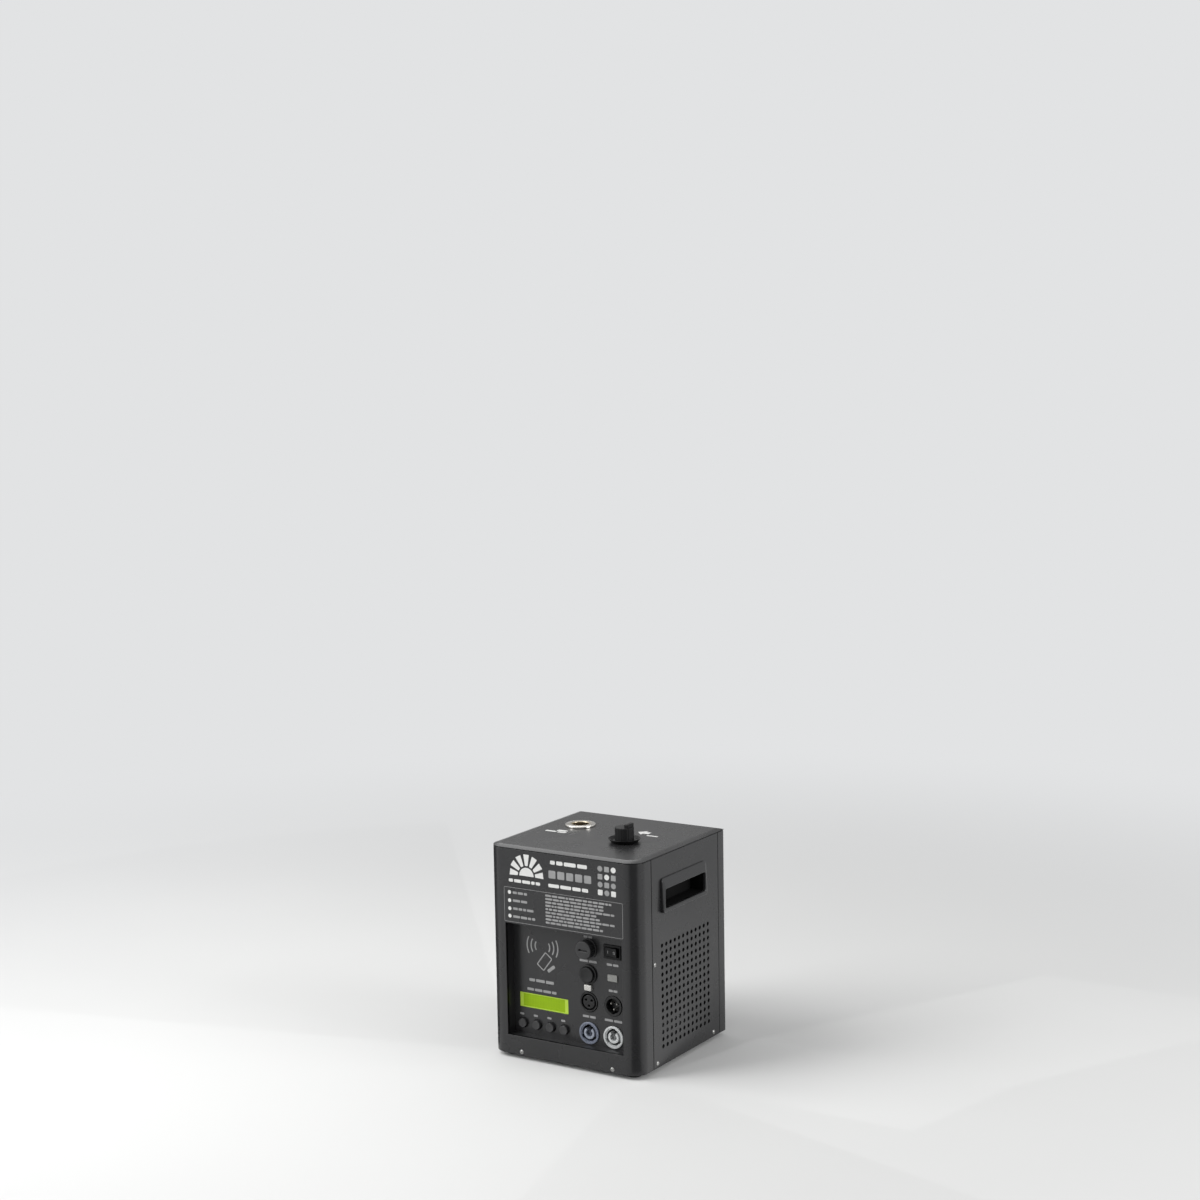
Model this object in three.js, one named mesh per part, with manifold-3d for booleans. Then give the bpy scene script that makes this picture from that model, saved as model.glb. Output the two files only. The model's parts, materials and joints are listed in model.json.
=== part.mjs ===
// Cold spark machine: a sheet-metal case with a granule tank, a screw feeder, a heated barrel with
// its blower, a cooling fan and a recessed control panel. Millimetres, +Z up, front towards -Y.
// The origin is on the floor, under the centre of the case.

import * as THREE from "three";
import { mergeVertices } from "three/addons/utils/BufferGeometryUtils.js";
import Module from "manifold-3d";

const wasm = await Module();
wasm.setup();

// Angles and fits shared by the whole machine
const fullTurn = 2 * Math.PI;
const halfTurn = Math.PI;
const quarterTurn = Math.PI / 2;
const seatGap = 0.3;
const overrun = 2;
const weldDistance = 0.0005;

// Case sheets
const caseWidth = 200;
const caseDepth = 195;
const caseHeight = 244;
const sheet = 1.5;
const cornerRadius = 18;
const cornerSteps = 5;
const frontReturn = 30;
const rearReturn = 14.5;
const lidThickness = 3;
const lidEdgeRound = 1;
const lidEdgeSteps = 1;
const lidSeam = 1.5;
const lidLip = 8;
const panFlange = 12;

// Feet
const footHeight = 5;
const footRadius = 9;
const footTaper = 1;
const footInset = 18;
const footScrewRadius = 2.5;
const footSides = 12;

// Control recess: the window in the front sheet and the tray behind it
const windowWidth = 156;
const windowHeight = 132;
const windowCentreX = 1;
const windowSill = 22;
const recessDepth = 15;
const panelThickness = 2;
const trayWall = 1.5;
const trayFlange = 6;
const panelFit = 0.4;

// Display
const displayX = -36.6;
const displayRise = 39;
const displayWidth = 66;
const displayHeight = 17;
const displayGlass = 1.7;
const displaySunk = 0.2;
const displayFrameWidth = 71;
const displayFrameHeight = 25;
const displayFrameDepth = 6;
const displayBoardWidth = 80;
const displayBoardHeight = 36;
const boardThickness = 1.6;

// Menu buttons
const menuButtons = 4;
const menuPitch = 18.8;
const menuRise = 12;
const menuRadius = 5.6;
const menuProud = 4;
const menuEdge = 0.8;
const menuFlangeRadius = 7.6;
const menuFlange = 1.2;
const menuStemRadius = 2;
const menuStem = 2.1;
const menuTravel = 1.2;
const menuSides = 12;
const menuBoardHeight = 16;
const menuBoardMargin = 4.5;
const tactSize = 6;
const tactHeight = 1.3;
const standoff = 4;

// Columns of the sockets and switches, and how the window's free height is shared out between their
// rows: under the mains sockets, under the signal sockets, over the latch, under the fuse and over it
const columnA = 25;
const columnPitch = 32.3;
const rowSpaceShares = [6, 117, 6, 67, 80];

// Locking mains sockets
const powerRingRadius = 13;
const powerRing = 1.6;
const powerBarrelRadius = 11.6;
const powerBarrel = 22;
const powerCavityRadius = 9.6;
const powerCavity = 13;
const powerCoreRadius = 6.4;
const powerCoreSunk = 1;
const powerKeyWidth = 2.4;
const powerKeyDepth = 1.8;
const powerSides = 18;

// Three-pole signal sockets
const signalFaceRadius = 11.4;
const signalProud = 1;
const signalBarrel = 20;
const signalFlangeWidth = 26;
const signalFlangeBelow = 15.5;
const signalFlange = 2;
const signalSides = 16;
const grooveOuter = 9.6;
const grooveInner = 7.8;
const grooveDepth = 8;
const contactCircle = 4.4;
const contactRadius = 1.5;
const contactSides = 6;
const pinRadius = 1.1;
const pinLength = 7;
const pinCavityRadius = 8.6;
const pinCavity = 12;
const insertThickness = 3;
const contactAngles = [quarterTurn / 3, quarterTurn + quarterTurn * (2 / 3), 3 * quarterTurn];

// Push latch over the female socket
const latchWidth = 10;
const latchHeight = 7;
const latchSpace = 2;
const latchProud = 3;
const latchBack = 4;
const latchStopHeight = 9.5;
const latchStop = 1;
const latchEdge = 1;

// Fuse holder
const fuseFlangeRadius = 12;
const fuseFlange = 1.8;
const fuseSleeveRadius = 8;
const fuseSleeve = 32;
const fuseBoreRadius = 6.4;
const fuseCarrierRadius = 5.8;
const fuseCarrierBore = 3.2;
const fuseCarrier = 24;
const fuseRadius = 2.6;
const fuseLength = 20;
const fuseCapRadius = 10.8;
const fuseCap = 9;
const fuseCapEdge = 1.2;
const fuseSlotWidth = 2;
const fuseSlotDepth = 1.5;
const fuseSides = 16;

// Start button
const startBezelRadius = 11.3;
const startBezel = 2;
const startTubeRadius = 10;
const startTube = 18;
const startBoreRadius = 9.1;
const startBore = 14;
const startRadius = 8.6;
const startProud = 2.6;
const startLength = 8;
const startDish = 0.8;

// Rocker switch
const switchFlangeWidth = 23;
const switchFlangeHeight = 16.6;
const switchFlange = 1;
const switchBodyWidth = 20.4;
const switchBodyHeight = 13.2;
const switchBody = 20;
const switchWellWidth = 18.2;
const switchWellHeight = 10.6;
const switchWell = 7;
const rockerHeight = 9.8;
const rockerHalf = 8.1;
const rockerRise = 3.4;
const rockerDip = 2;
const rockerBackHalf = 6.6;
const rockerBack = 3;
const rockerTilt = (8 * Math.PI) / 180;

// Indicator lamp
const lampWidth = 13;
const lampHeight = 8;
const lampProud = 1.2;
const lampShrink = 1.4;
const lampDepth = 8;

// Card reader board behind the bare left half of the panel
const readerX = -37;
const readerWidth = 60;
const readerHeight = 44;
const readerChip = 12;
const readerChipDepth = 2;

// Side handles
const handleLength = 99;
const handleHeight = 39.6;
const handleY = 1.8;
const handleRow = 195.2;
const handleProud = 6;
const handleCorner = 4;
const handleEdge = 1.5;
const handleEdgeSteps = 1;
const handleCornerSteps = 2;
const gripLength = 89;
const gripHeight = 22;
const gripLow = 5;
const gripThickness = 3.5;
const pocketHeight = 32;
const pocketDepth = 18;
const pocketWall = 1.5;

// Vent grid of the side sheets
const ventColumns = 12;
const ventRows = 15;
const ventPitchY = 9.4;
const ventPitchZ = 8.33;
const ventCentreY = 5.85;
const ventCentreRow = 79.85;
const ventRadius = 3.4;
const ventSides = 4;

// Cooling fan and its punched grille in the left side sheet
const fanY = 5.85;
const fanRow = 79.85;
const fanSize = 80;
const fanDepth = 25;
const fanBoreRadius = 38;
const fanSides = 20;
const fanHubRadius = 15;
const fanHubDepth = 18;
const fanStrutWidth = 5;
const fanStrut = 3;
const fanShaftRadius = 2.5;
const fanBlades = 7;
const fanBladeTip = 35.5;
const fanBladeChord = 17;
const fanBladeThickness = 1.6;
const fanBladePitch = (38 * Math.PI) / 180;
const grilleRings = 3;
const grilleFirst = 13;
const grillePitch = 9.5;
const grilleSlot = 6;
const grilleArcs = 4;
const grilleBridge = 5;
const grilleArcSteps = 4;

// Shelf that carries the hot section
const deckRow = 145;
const deckFrontSpace = 52.5;
const deckRearSpace = 7.5;
const deckFlange = 12;

// Nozzle and heated barrel
const nozzleY = 26;
const nozzleFlangeRadius = 18;
const nozzleFlange = 2.5;
const nozzleEdge = 0.8;
const nozzleBore = 10;
const nozzleSpigotRadius = 12.6;
const nozzleSpigotDrop = 3;
const nozzleSides = 20;
const barrelRadius = 13;
const barrelHeight = 75;
const barrelBaseRadius = 20;
const barrelBase = 3;
const barrelShelfRadius = 22;
const barrelShelfRow = 27.5;
const barrelShelf = 2;
const barrelSides = 16;
const coilWire = 3;
const coilTurns = 4;
const coilPitch = 9;
const coilStepsPerTurn = 10;
const coilSides = 4;
const coilLift = 3;
const coilClearance = 1;
const jacketBore = 18.4;
const jacketRadius = 24;
const jacketHeight = 43;

// Filling port
const feedX = 36;
const feedY = -19;
const feedBore = 11;
const throatRadius = 12.5;
const throatDrop = 16;
const collarFoot = 15;
const collarRadius = 19;
const collarHeight = 4.5;
const collarLip = 1.2;
const collarFloor = 1.4;
const collarFloorRadius = 13.5;
const collarSides = 20;
const plugFit = 0.4;
const plugDepth = 9;
const plugGroove = 0.8;
const knobRadius = 11;
const knobHeight = 15.4;
const knobEdge = 0.8;
const knobTabWidth = 5;
const knobTabLength = 14;
const knobTabHeight = 4.3;

// Granule tank
const hopperLowX = 6;
const hopperSideSpace = 8;
const hopperLowY = -50;
const hopperDepth = 90;
const hopperDrop = 10;
const hopperWall = 1.5;
const outletWidth = 20;
const outletDepth = 20;

// Screw feeder, along X behind the tank outlet
const augerRow = 163;
const augerTubeRadius = 9;
const augerBore = 7.6;
const augerTubeEnd = 54;
const augerSlotWidth = 10;
const augerSides = 16;
const augerFlightRadius = 7;
const augerShaftRadius = 2.4;
const augerShaftSides = 8;
const augerPitch = 12;
const augerFlight = 1.6;
const augerEndSpace = 6.1;
const augerStepsPerTurn = 8;
const augerStart = 2;
const saddleX = -5;
const saddleLength = 20;
const saddleWidth = 16;
const gearTeeth = 24;
const pinionTeeth = 10;
const toothModule = 1.25;
const toothAddendum_share = 0.9;
const toothDedendum_share = 1.15;
const toothRoot_share = 0.6;
const toothTip_share = 0.24;
const gearWidth = 6;
const gearSpace = 2;
const gearPlay = 0.25;
const shaftPlay = 0.3;
const gearboxSize = 22;
const gearboxLength = 31;
const gearboxFootWidth = 30;
const gearboxShaft = 8;
const gearboxFoot = 3;

// Blower under the barrel, its wheel on an axis along X
const blowerFanSpace = 5.2;
const blowerWidth = 30;
const blowerWall = 2;
const blowerRow = 41;
const voluteStart = 27;
const voluteEnd = 40;
const voluteAngle = (150 * Math.PI) / 180;
const voluteSteps = 22;
const blowerMouth = 20;
const blowerIntake = 15;
const blowerFootWidth = 30;
const blowerShaftHole = 4;
const wheelRadius = 22;
const wheelInner = 14;
const wheelDisc = 1.5;
const wheelSpace = 3;
const wheelHub = 5;
const wheelShaft = 2.5;
const wheelVanes = 12;
const vaneLean = 0.5;
const vaneThickness = 1.3;
const vaneSteps = 1;
const wheelSides = 16;
const blowerMotorRadius = 14;
const blowerMotorLength = 26;
const blowerMotorBore = 8;

// Power supply and control board
const supplyMotorSpace = 6.7;
const supplySideSpace = 13.5;
const supplySocketSpace = 7.5;
const supplyDepth = 100;
const supplyHeight = 38;
const supplyFoot = 6;
const supplyTerminal = 12;
const boardX = -20;
const boardWidth = 95;
const boardFuseSpace = 10.5;
const boardDepth = 84;
const boardDrop = 8;
const boardPost = 6;
const boardInset = 3;
const heatSinkHeight = 14;

// Places that follow from the sizes above
const halfWidth = caseWidth / 2;
const frontY = -caseDepth / 2;
const rearY = caseDepth / 2;
const underside = footHeight;
const lidTop = underside + caseHeight;
const lidUnder = lidTop - lidThickness;
const wallTop = lidUnder - lidSeam;
const panTop = underside + sheet;
const innerSideX = halfWidth - sheet;
const innerRearY = rearY - sheet;
const deckTop = underside + deckRow;
const deckUnder = deckTop - sheet;
const columnB = columnA + columnPitch;
const panelBack = -panelThickness;
const behindPanel = panelBack - seatGap;
const panelRearY = frontY + recessDepth + panelThickness;
const deckFront = frontY + deckFrontSpace;
const deckRear = rearY - deckRearSpace;
const blowerLowX = seatGap + fanDepth + blowerFanSpace - innerSideX;
const blowerHighX = blowerLowX + blowerWidth;
const nozzleX = blowerLowX + blowerWidth / 2;
const barrelFoot = deckTop + seatGap;
const barrelTop = barrelFoot + barrelHeight;
const nozzleTubeTop = lidUnder - nozzleSpigotDrop - seatGap;
const augerZ = underside + augerRow;
const augerTubeStart = nozzleX + barrelRadius + seatGap;
const gearStart = augerTubeEnd + gearSpace;
const gearPitchRadius = (gearTeeth * toothModule) / 2;
const pinionPitchRadius = (pinionTeeth * toothModule) / 2;
const motorY = nozzleY + gearPitchRadius + pinionPitchRadius + gearPlay;
const hopperTop = lidUnder - hopperDrop;
const hopperFoot = augerZ + augerTubeRadius + seatGap;
const hopperHighX = halfWidth - pocketDepth - hopperSideSpace;

// Rows of the panel, above the underside of the case
const latchRise = signalFaceRadius + latchSpace + latchHeight / 2;
const latchTop = latchRise + latchHeight / 2;
const rowsTaken = 2 * (powerRingRadius + startBezelRadius + fuseFlangeRadius) + signalFaceRadius + latchTop;
const shareSum = rowSpaceShares.reduce((sum, share) => sum + share);
const rowSpaces = rowSpaceShares.map((share) => ((windowHeight - rowsTaken) * share) / shareSum);
const [powerSpace, signalSpace, startSpace, fuseSpace] = rowSpaces;
const powerRow = windowSill + powerSpace + powerRingRadius;
const signalRow = powerRow + powerRingRadius + signalSpace + signalFaceRadius;
const middleRow = signalRow + latchTop + startSpace + startBezelRadius;
const upperRow = middleRow + startBezelRadius + fuseSpace + fuseFlangeRadius;
const menuRow = windowSill + menuRise;
const displayRow = windowSill + displayRise;
const readerRow = (displayRow + displayBoardHeight / 2 + windowSill + windowHeight) / 2;

// Finishes
const finish = (color, roughness, metalness) =>
  new THREE.MeshStandardMaterial({ color, roughness, metalness, flatShading: true });
const coatedSteel = finish(0x4a4a4c, 0.55, 0.3);
const steelSheet = finish(0x9a9a9c, 0.4, 0.8);
const stainless = finish(0xd0cec8, 0.25, 1);
const blackPlastic = finish(0x141414, 0.45, 0);
const blackRubber = finish(0x1a1a1a, 0.85, 0);
const blueRing = finish(0x8d9dbb, 0.4, 0);
const bluePlastic = finish(0x26365f, 0.4, 0);
const greyPlastic = finish(0xc4c6cc, 0.4, 0);
const displayGreen = finish(0x94ba1c, 0.25, 0);
const lampWhite = finish(0xe6e6e0, 0.3, 0);
const boardGreen = finish(0x1f5a33, 0.6, 0);
const copper = finish(0xb87333, 0.35, 1);
const mineral = finish(0xcfc7b4, 0.95, 0);
const brass = finish(0xc9a74e, 0.3, 1);
const clearGlass = finish(0xcfd8d8, 0.1, 0);

// A closed three.js geometry as a solid, with its shared corners welded and its flat slivers dropped
function solidFrom(geometry) {
  const bare = geometry.clone();
  bare.deleteAttribute("normal");
  bare.deleteAttribute("uv");
  const welded = mergeVertices(bare, weldDistance);
  const corners = welded.index.array;
  const kept = [];
  for (let i = 0; i < corners.length; i += 3) {
    const [a, b, c] = [corners[i], corners[i + 1], corners[i + 2]];
    if (a !== b && b !== c && c !== a) kept.push(a, b, c);
  }
  return new wasm.Manifold(
    new wasm.Mesh({
      numProp: 3,
      vertProperties: welded.attributes.position.array,
      triVerts: new Uint32Array(kept),
    }),
  );
}

// A solid as a geometry with flat faces
function geometryFrom(solid) {
  const mesh = solid.getMesh();
  const indexed = new THREE.BufferGeometry();
  indexed.setAttribute("position", new THREE.BufferAttribute(mesh.vertProperties, mesh.numProp));
  indexed.setIndex(new THREE.BufferAttribute(mesh.triVerts, 1));
  const flat = indexed.toNonIndexed();
  flat.computeVertexNormals();
  return flat;
}

function piece(name, solid, material) {
  const mesh = new THREE.Mesh(geometryFrom(solid), material);
  mesh.name = name;
  return mesh;
}

const joined = (solids) => solids.reduce((whole, solid) => whole.add(solid));
const cut = (solid, tools) => tools.reduce((rest, tool) => rest.subtract(tool), solid);

// A box from its lowest to its highest corner
function block(low, high) {
  const size = high.map((value, axis) => value - low[axis]);
  const geometry = new THREE.BoxGeometry(...size);
  geometry.translate(...low.map((value, axis) => value + size[axis] / 2));
  return solidFrom(geometry);
}

// A box given by its centre and sides in the flat, from one level to another
function slab(centreX, centreY, width, height, low, high) {
  return block(
    [centreX - width / 2, centreY - height / 2, low],
    [centreX + width / 2, centreY + height / 2, high],
  );
}

// A round bar along Z
function bar(radius, low, high, sides, x = 0, y = 0) {
  const geometry = new THREE.CylinderGeometry(radius, radius, high - low, sides);
  geometry.rotateX(quarterTurn);
  geometry.translate(x, y, (low + high) / 2);
  return solidFrom(geometry);
}

// An outline carried along Z
function prism(outline, low, high, curveSegments = cornerSteps) {
  const geometry = new THREE.ExtrudeGeometry(outline, {
    depth: high - low,
    bevelEnabled: false,
    curveSegments,
  });
  geometry.translate(0, 0, low);
  return solidFrom(geometry);
}

// An outline carried along Z, its rim rounded at both ends
function roundedPrism(outline, low, high, edge, edgeSteps, curveSegments) {
  const geometry = new THREE.ExtrudeGeometry(outline, {
    depth: high - low - 2 * edge,
    bevelThickness: edge,
    bevelSize: edge,
    bevelOffset: -edge,
    bevelSegments: edgeSteps,
    curveSegments,
  });
  geometry.translate(0, 0, low + edge);
  return solidFrom(geometry);
}

// A profile of [radius, level] points turned about Z; it starts and ends on the axis
function turned(profile, sides, x = 0, y = 0) {
  const points = profile.map(([radius, level]) => new THREE.Vector2(radius, level));
  const geometry = new THREE.LatheGeometry(points, sides);
  geometry.rotateX(quarterTurn);
  geometry.translate(x, y, 0);
  return solidFrom(geometry);
}

// The same for a ring, whose profile closes on itself
const turnedRing = (profile, sides, x, y) => turned([...profile, profile[0]], sides, x, y);

// Draws a rectangle with round corners into a shape or a hole
function rectangle(path, centreX, centreY, width, height, radius = 0) {
  const left = centreX - width / 2;
  const right = centreX + width / 2;
  const low = centreY - height / 2;
  const high = centreY + height / 2;
  if (radius === 0) {
    path.moveTo(left, low);
    path.lineTo(right, low);
    path.lineTo(right, high);
    path.lineTo(left, high);
    path.closePath();
    return path;
  }
  path.moveTo(left + radius, low);
  path.absarc(right - radius, low + radius, radius, -quarterTurn, 0, false);
  path.absarc(right - radius, high - radius, radius, 0, quarterTurn, false);
  path.absarc(left + radius, high - radius, radius, quarterTurn, halfTurn, false);
  path.absarc(left + radius, low + radius, radius, halfTurn, halfTurn + quarterTurn, false);
  path.closePath();
  return path;
}

// Draws a regular polygon into a shape or a hole
function polygon(path, centreX, centreY, radius, sides) {
  for (let i = 0; i < sides; i += 1) {
    const angle = ((i + 0.5) * fullTurn) / sides;
    const x = centreX + radius * Math.cos(angle);
    const y = centreY + radius * Math.sin(angle);
    if (i === 0) path.moveTo(x, y);
    else path.lineTo(x, y);
  }
  path.closePath();
  return path;
}

// The case seen from above, drawn in by an inset: round front corners and square rear ones
function casePlan(inset) {
  const x = halfWidth - inset;
  const front = frontY + inset;
  const rear = rearY - inset;
  const radius = cornerRadius - inset;
  const plan = new THREE.Shape();
  plan.moveTo(x, rear);
  plan.lineTo(-x, rear);
  plan.absarc(radius - x, front + radius, radius, halfTurn, halfTurn + quarterTurn, false);
  plan.absarc(x - radius, front + radius, radius, halfTurn + quarterTurn, fullTurn, false);
  plan.closePath();
  return plan;
}

// A strip that follows the case plan on the inside
function caseRim(inset, thickness, low, high) {
  const outer = prism(casePlan(inset), low, high);
  const inner = prism(casePlan(inset + thickness), low - overrun, high + overrun);
  return outer.subtract(inner);
}

const machine = new THREE.Group();

// Base pan: a flat tray whose upturned rim sits inside the case sheets
const panInset = sheet + seatGap;
const basePan = joined([
  prism(casePlan(panInset), underside, panTop),
  caseRim(panInset, sheet, underside, underside + panFlange),
]);
machine.add(piece("base_pan", basePan, steelSheet));

// Rubber feet, with a hole for the screw that holds each one to the pan
const footTop = underside - seatGap;
const footProfile = [
  [footScrewRadius, 0],
  [footRadius - footTaper, 0],
  [footRadius, footTop],
  [footScrewRadius, footTop],
];
for (const [side, x] of [["left", -1], ["right", 1]]) {
  for (const [end, y] of [["front", -1], ["rear", 1]]) {
    const foot = piece(`foot_${end}_${side}`, turnedRing(footProfile, footSides), blackRubber);
    foot.position.set(x * (halfWidth - footInset), y * (rearY - footInset), 0);
    machine.add(foot);
  }
}

// Front sheet: one bent plate, round at both front corners, with the window of the control recess
function frontSheet() {
  const back = frontY + frontReturn;
  const centre = frontY + cornerRadius;
  const inner = cornerRadius - sheet;
  const plan = new THREE.Shape();
  plan.moveTo(-halfWidth, back);
  plan.absarc(cornerRadius - halfWidth, centre, cornerRadius, halfTurn, 3 * quarterTurn, false);
  plan.absarc(halfWidth - cornerRadius, centre, cornerRadius, 3 * quarterTurn, fullTurn, false);
  plan.lineTo(halfWidth, back);
  plan.lineTo(innerSideX, back);
  plan.absarc(halfWidth - cornerRadius, centre, inner, 0, -quarterTurn, true);
  plan.absarc(cornerRadius - halfWidth, centre, inner, -quarterTurn, -halfTurn, true);
  plan.lineTo(-innerSideX, back);
  plan.closePath();
  const window = block(
    [windowCentreX - windowWidth / 2, frontY - overrun, underside + windowSill],
    [windowCentreX + windowWidth / 2, frontY + sheet + overrun, underside + windowSill + windowHeight],
  );
  return prism(plan, underside, wallTop).subtract(window);
}
machine.add(piece("front_shell", frontSheet(), coatedSteel));

// Rear sheet: a flat back with short returns on both sides
function rearSheet() {
  const reach = rearY - rearReturn;
  const plan = new THREE.Shape();
  plan.moveTo(-halfWidth, reach);
  plan.lineTo(-innerSideX, reach);
  plan.lineTo(-innerSideX, innerRearY);
  plan.lineTo(innerSideX, innerRearY);
  plan.lineTo(innerSideX, reach);
  plan.lineTo(halfWidth, reach);
  plan.lineTo(halfWidth, rearY);
  plan.lineTo(-halfWidth, rearY);
  plan.closePath();
  return prism(plan, underside, wallTop);
}
machine.add(piece("rear_panel", rearSheet(), coatedSteel));

// Lid: a thick plate with a rounded rim, a downturned lip inside it, and two holes
function lid() {
  const plate = roundedPrism(casePlan(0), lidUnder, lidTop, lidEdgeRound, lidEdgeSteps, cornerSteps);
  const lip = caseRim(panInset, sheet, lidUnder - lidLip, lidUnder + sheet);
  const nozzleHole = nozzleSpigotRadius + panelFit;
  const feedHole = throatRadius + panelFit;
  return cut(joined([plate, lip]), [
    bar(nozzleHole, lidUnder - overrun, lidTop + overrun, nozzleSides, nozzleX, nozzleY),
    bar(feedHole, lidUnder - overrun, lidTop + overrun, collarSides, feedX, feedY),
  ]);
}
machine.add(piece("top_plate", lid(), coatedSteel));

// Side sheets and handles stand in frames whose x runs along the case, y up, and z outwards
function sideFrame(side) {
  const frame = new THREE.Group();
  frame.position.set(side * halfWidth, 0, 0);
  frame.rotation.set(quarterTurn, 0, side * quarterTurn, "ZXY");
  return frame;
}

// Vent grid of the right side sheet: rows and columns of holes
function ventGrid() {
  const holes = [];
  for (let column = 0; column < ventColumns; column += 1) {
    for (let line = 0; line < ventRows; line += 1) {
      const x = ventCentreY + (column - (ventColumns - 1) / 2) * ventPitchY;
      const y = underside + ventCentreRow + (line - (ventRows - 1) / 2) * ventPitchZ;
      holes.push(polygon(new THREE.Shape(), x, y, ventRadius, ventSides));
    }
  }
  return holes;
}

// Fan grille of the left side sheet: rings of curved slots
function fanGrille() {
  const slots = [];
  for (let ring = 0; ring < grilleRings; ring += 1) {
    const middle = grilleFirst + ring * grillePitch;
    const outer = middle + grilleSlot / 2;
    const inner = middle - grilleSlot / 2;
    const bridge = grilleBridge / middle;
    for (let arc = 0; arc < grilleArcs; arc += 1) {
      const start = (arc * fullTurn) / grilleArcs + bridge / 2;
      const end = ((arc + 1) * fullTurn) / grilleArcs - bridge / 2;
      const slot = new THREE.Shape();
      slot.absarc(-fanY, underside + fanRow, outer, start, end, false);
      slot.absarc(-fanY, underside + fanRow, inner, end, start, true);
      slot.closePath();
      slots.push(slot);
    }
  }
  return slots;
}

// Side sheet: a flat plate with the handle cut-out and its air openings
function sideSheet(side, openings) {
  const front = frontY + frontReturn + seatGap;
  const rear = rearY - rearReturn - seatGap;
  const middle = (side * (front + rear)) / 2;
  const plate = slab(middle, (underside + wallTop) / 2, rear - front, wallTop - underside, -sheet, 0);
  const pocketLow = underside + handleRow - handleHeight / 2 + gripLow - pocketWall;
  const cutHeight = pocketHeight + 2 * pocketWall;
  const handleCut = slab(
    side * handleY,
    pocketLow + cutHeight / 2,
    gripLength + 2 * pocketWall + 2 * seatGap,
    cutHeight + 2 * seatGap,
    -sheet - overrun,
    overrun,
  );
  const holes = openings.map((hole) => prism(hole, -sheet - overrun, overrun, grilleArcSteps));
  return plate.subtract(joined([handleCut, ...holes]));
}

// Handle: a proud frame with a broad top bar, and a pocket behind it that runs up behind the bar
function handle(side) {
  const x = side * handleY;
  const y = underside + handleRow;
  const low = y - handleHeight / 2 + gripLow;
  const frame = roundedPrism(
    rectangle(new THREE.Shape(), x, y, handleLength, handleHeight, handleCorner),
    seatGap,
    handleProud,
    handleEdge,
    handleEdgeSteps,
    handleCornerSteps,
  );
  const shell = block(
    [x - gripLength / 2 - pocketWall, low - pocketWall, -pocketDepth],
    [x + gripLength / 2 + pocketWall, low + pocketHeight + pocketWall, sheet],
  );
  const hollow = block(
    [x - gripLength / 2, low, -pocketDepth + pocketWall],
    [x + gripLength / 2, low + pocketHeight, handleProud - gripThickness],
  );
  const mouth = block(
    [x - gripLength / 2, low, -sheet],
    [x + gripLength / 2, low + gripHeight, handleProud + overrun],
  );
  return cut(joined([frame, shell]), [hollow, mouth]);
}
for (const [name, side, openings] of [
  ["right", 1, ventGrid()],
  ["left", -1, fanGrille()],
]) {
  const frame = sideFrame(side);
  frame.add(piece(`${name}_side_panel`, sideSheet(side, openings), coatedSteel));
  frame.add(piece(`${name}_handle`, handle(side), coatedSteel));
  machine.add(frame);
}

// The control pieces stand in a frame on the face of the panel: x to the right, y up, z outwards
const controls = new THREE.Group();
controls.position.set(0, frontY + recessDepth, 0);
controls.rotation.set(quarterTurn, 0, 0);
machine.add(controls);

const menuCentres = [];
for (let i = 0; i < menuButtons; i += 1) {
  menuCentres.push(displayX + (i - (menuButtons - 1) / 2) * menuPitch);
}
const row = (height) => underside + height;

// Control panel: a tray with a flange behind the front sheet, and the cut-outs of what it carries
function controlPanel() {
  const centreY = row(windowSill) + windowHeight / 2;
  const outerWidth = windowWidth + 2 * trayWall;
  const outerHeight = windowHeight + 2 * trayWall;
  const rim = recessDepth - sheet - seatGap;
  const plate = rectangle(new THREE.Shape(), windowCentreX, centreY, outerWidth, outerHeight);
  const rounds = [
    [columnA, powerRow, powerBarrelRadius, powerSides],
    [columnB, powerRow, powerBarrelRadius, powerSides],
    [columnA, signalRow, signalFaceRadius, signalSides],
    [columnB, signalRow, signalFaceRadius, signalSides],
    [columnA, middleRow, startTubeRadius, fuseSides],
    [columnA, upperRow, fuseSleeveRadius, fuseSides],
    ...menuCentres.map((x) => [x, menuRow, menuRadius, menuSides]),
  ];
  for (const [x, y, radius, sides] of rounds) {
    plate.holes.push(polygon(new THREE.Path(), x, row(y), radius + panelFit, sides));
  }
  const squares = [
    [displayX, displayRow, displayWidth, displayHeight],
    [columnA, signalRow + latchRise, latchWidth, latchHeight],
    [columnB, upperRow, switchBodyWidth, switchBodyHeight],
    [columnB, middleRow, lampWidth - 2 * lampShrink, lampHeight - 2 * lampShrink],
  ];
  for (const [x, y, width, height] of squares) {
    const wide = width + 2 * seatGap;
    const high = height + 2 * seatGap;
    plate.holes.push(rectangle(new THREE.Path(), x, row(y), wide, high));
  }
  const walls = rectangle(new THREE.Shape(), windowCentreX, centreY, outerWidth, outerHeight);
  walls.holes.push(rectangle(new THREE.Path(), windowCentreX, centreY, windowWidth, windowHeight));
  const flange = rectangle(
    new THREE.Shape(),
    windowCentreX,
    centreY,
    outerWidth,
    outerHeight + 2 * trayFlange,
  );
  flange.holes.push(rectangle(new THREE.Path(), windowCentreX, centreY, windowWidth, windowHeight));
  return joined([
    prism(plate, panelBack, 0),
    prism(walls, -panelThickness / 2, rim),
    prism(flange, rim - trayWall, rim),
  ]);
}
controls.add(piece("control_panel", controlPanel(), coatedSteel));

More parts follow.
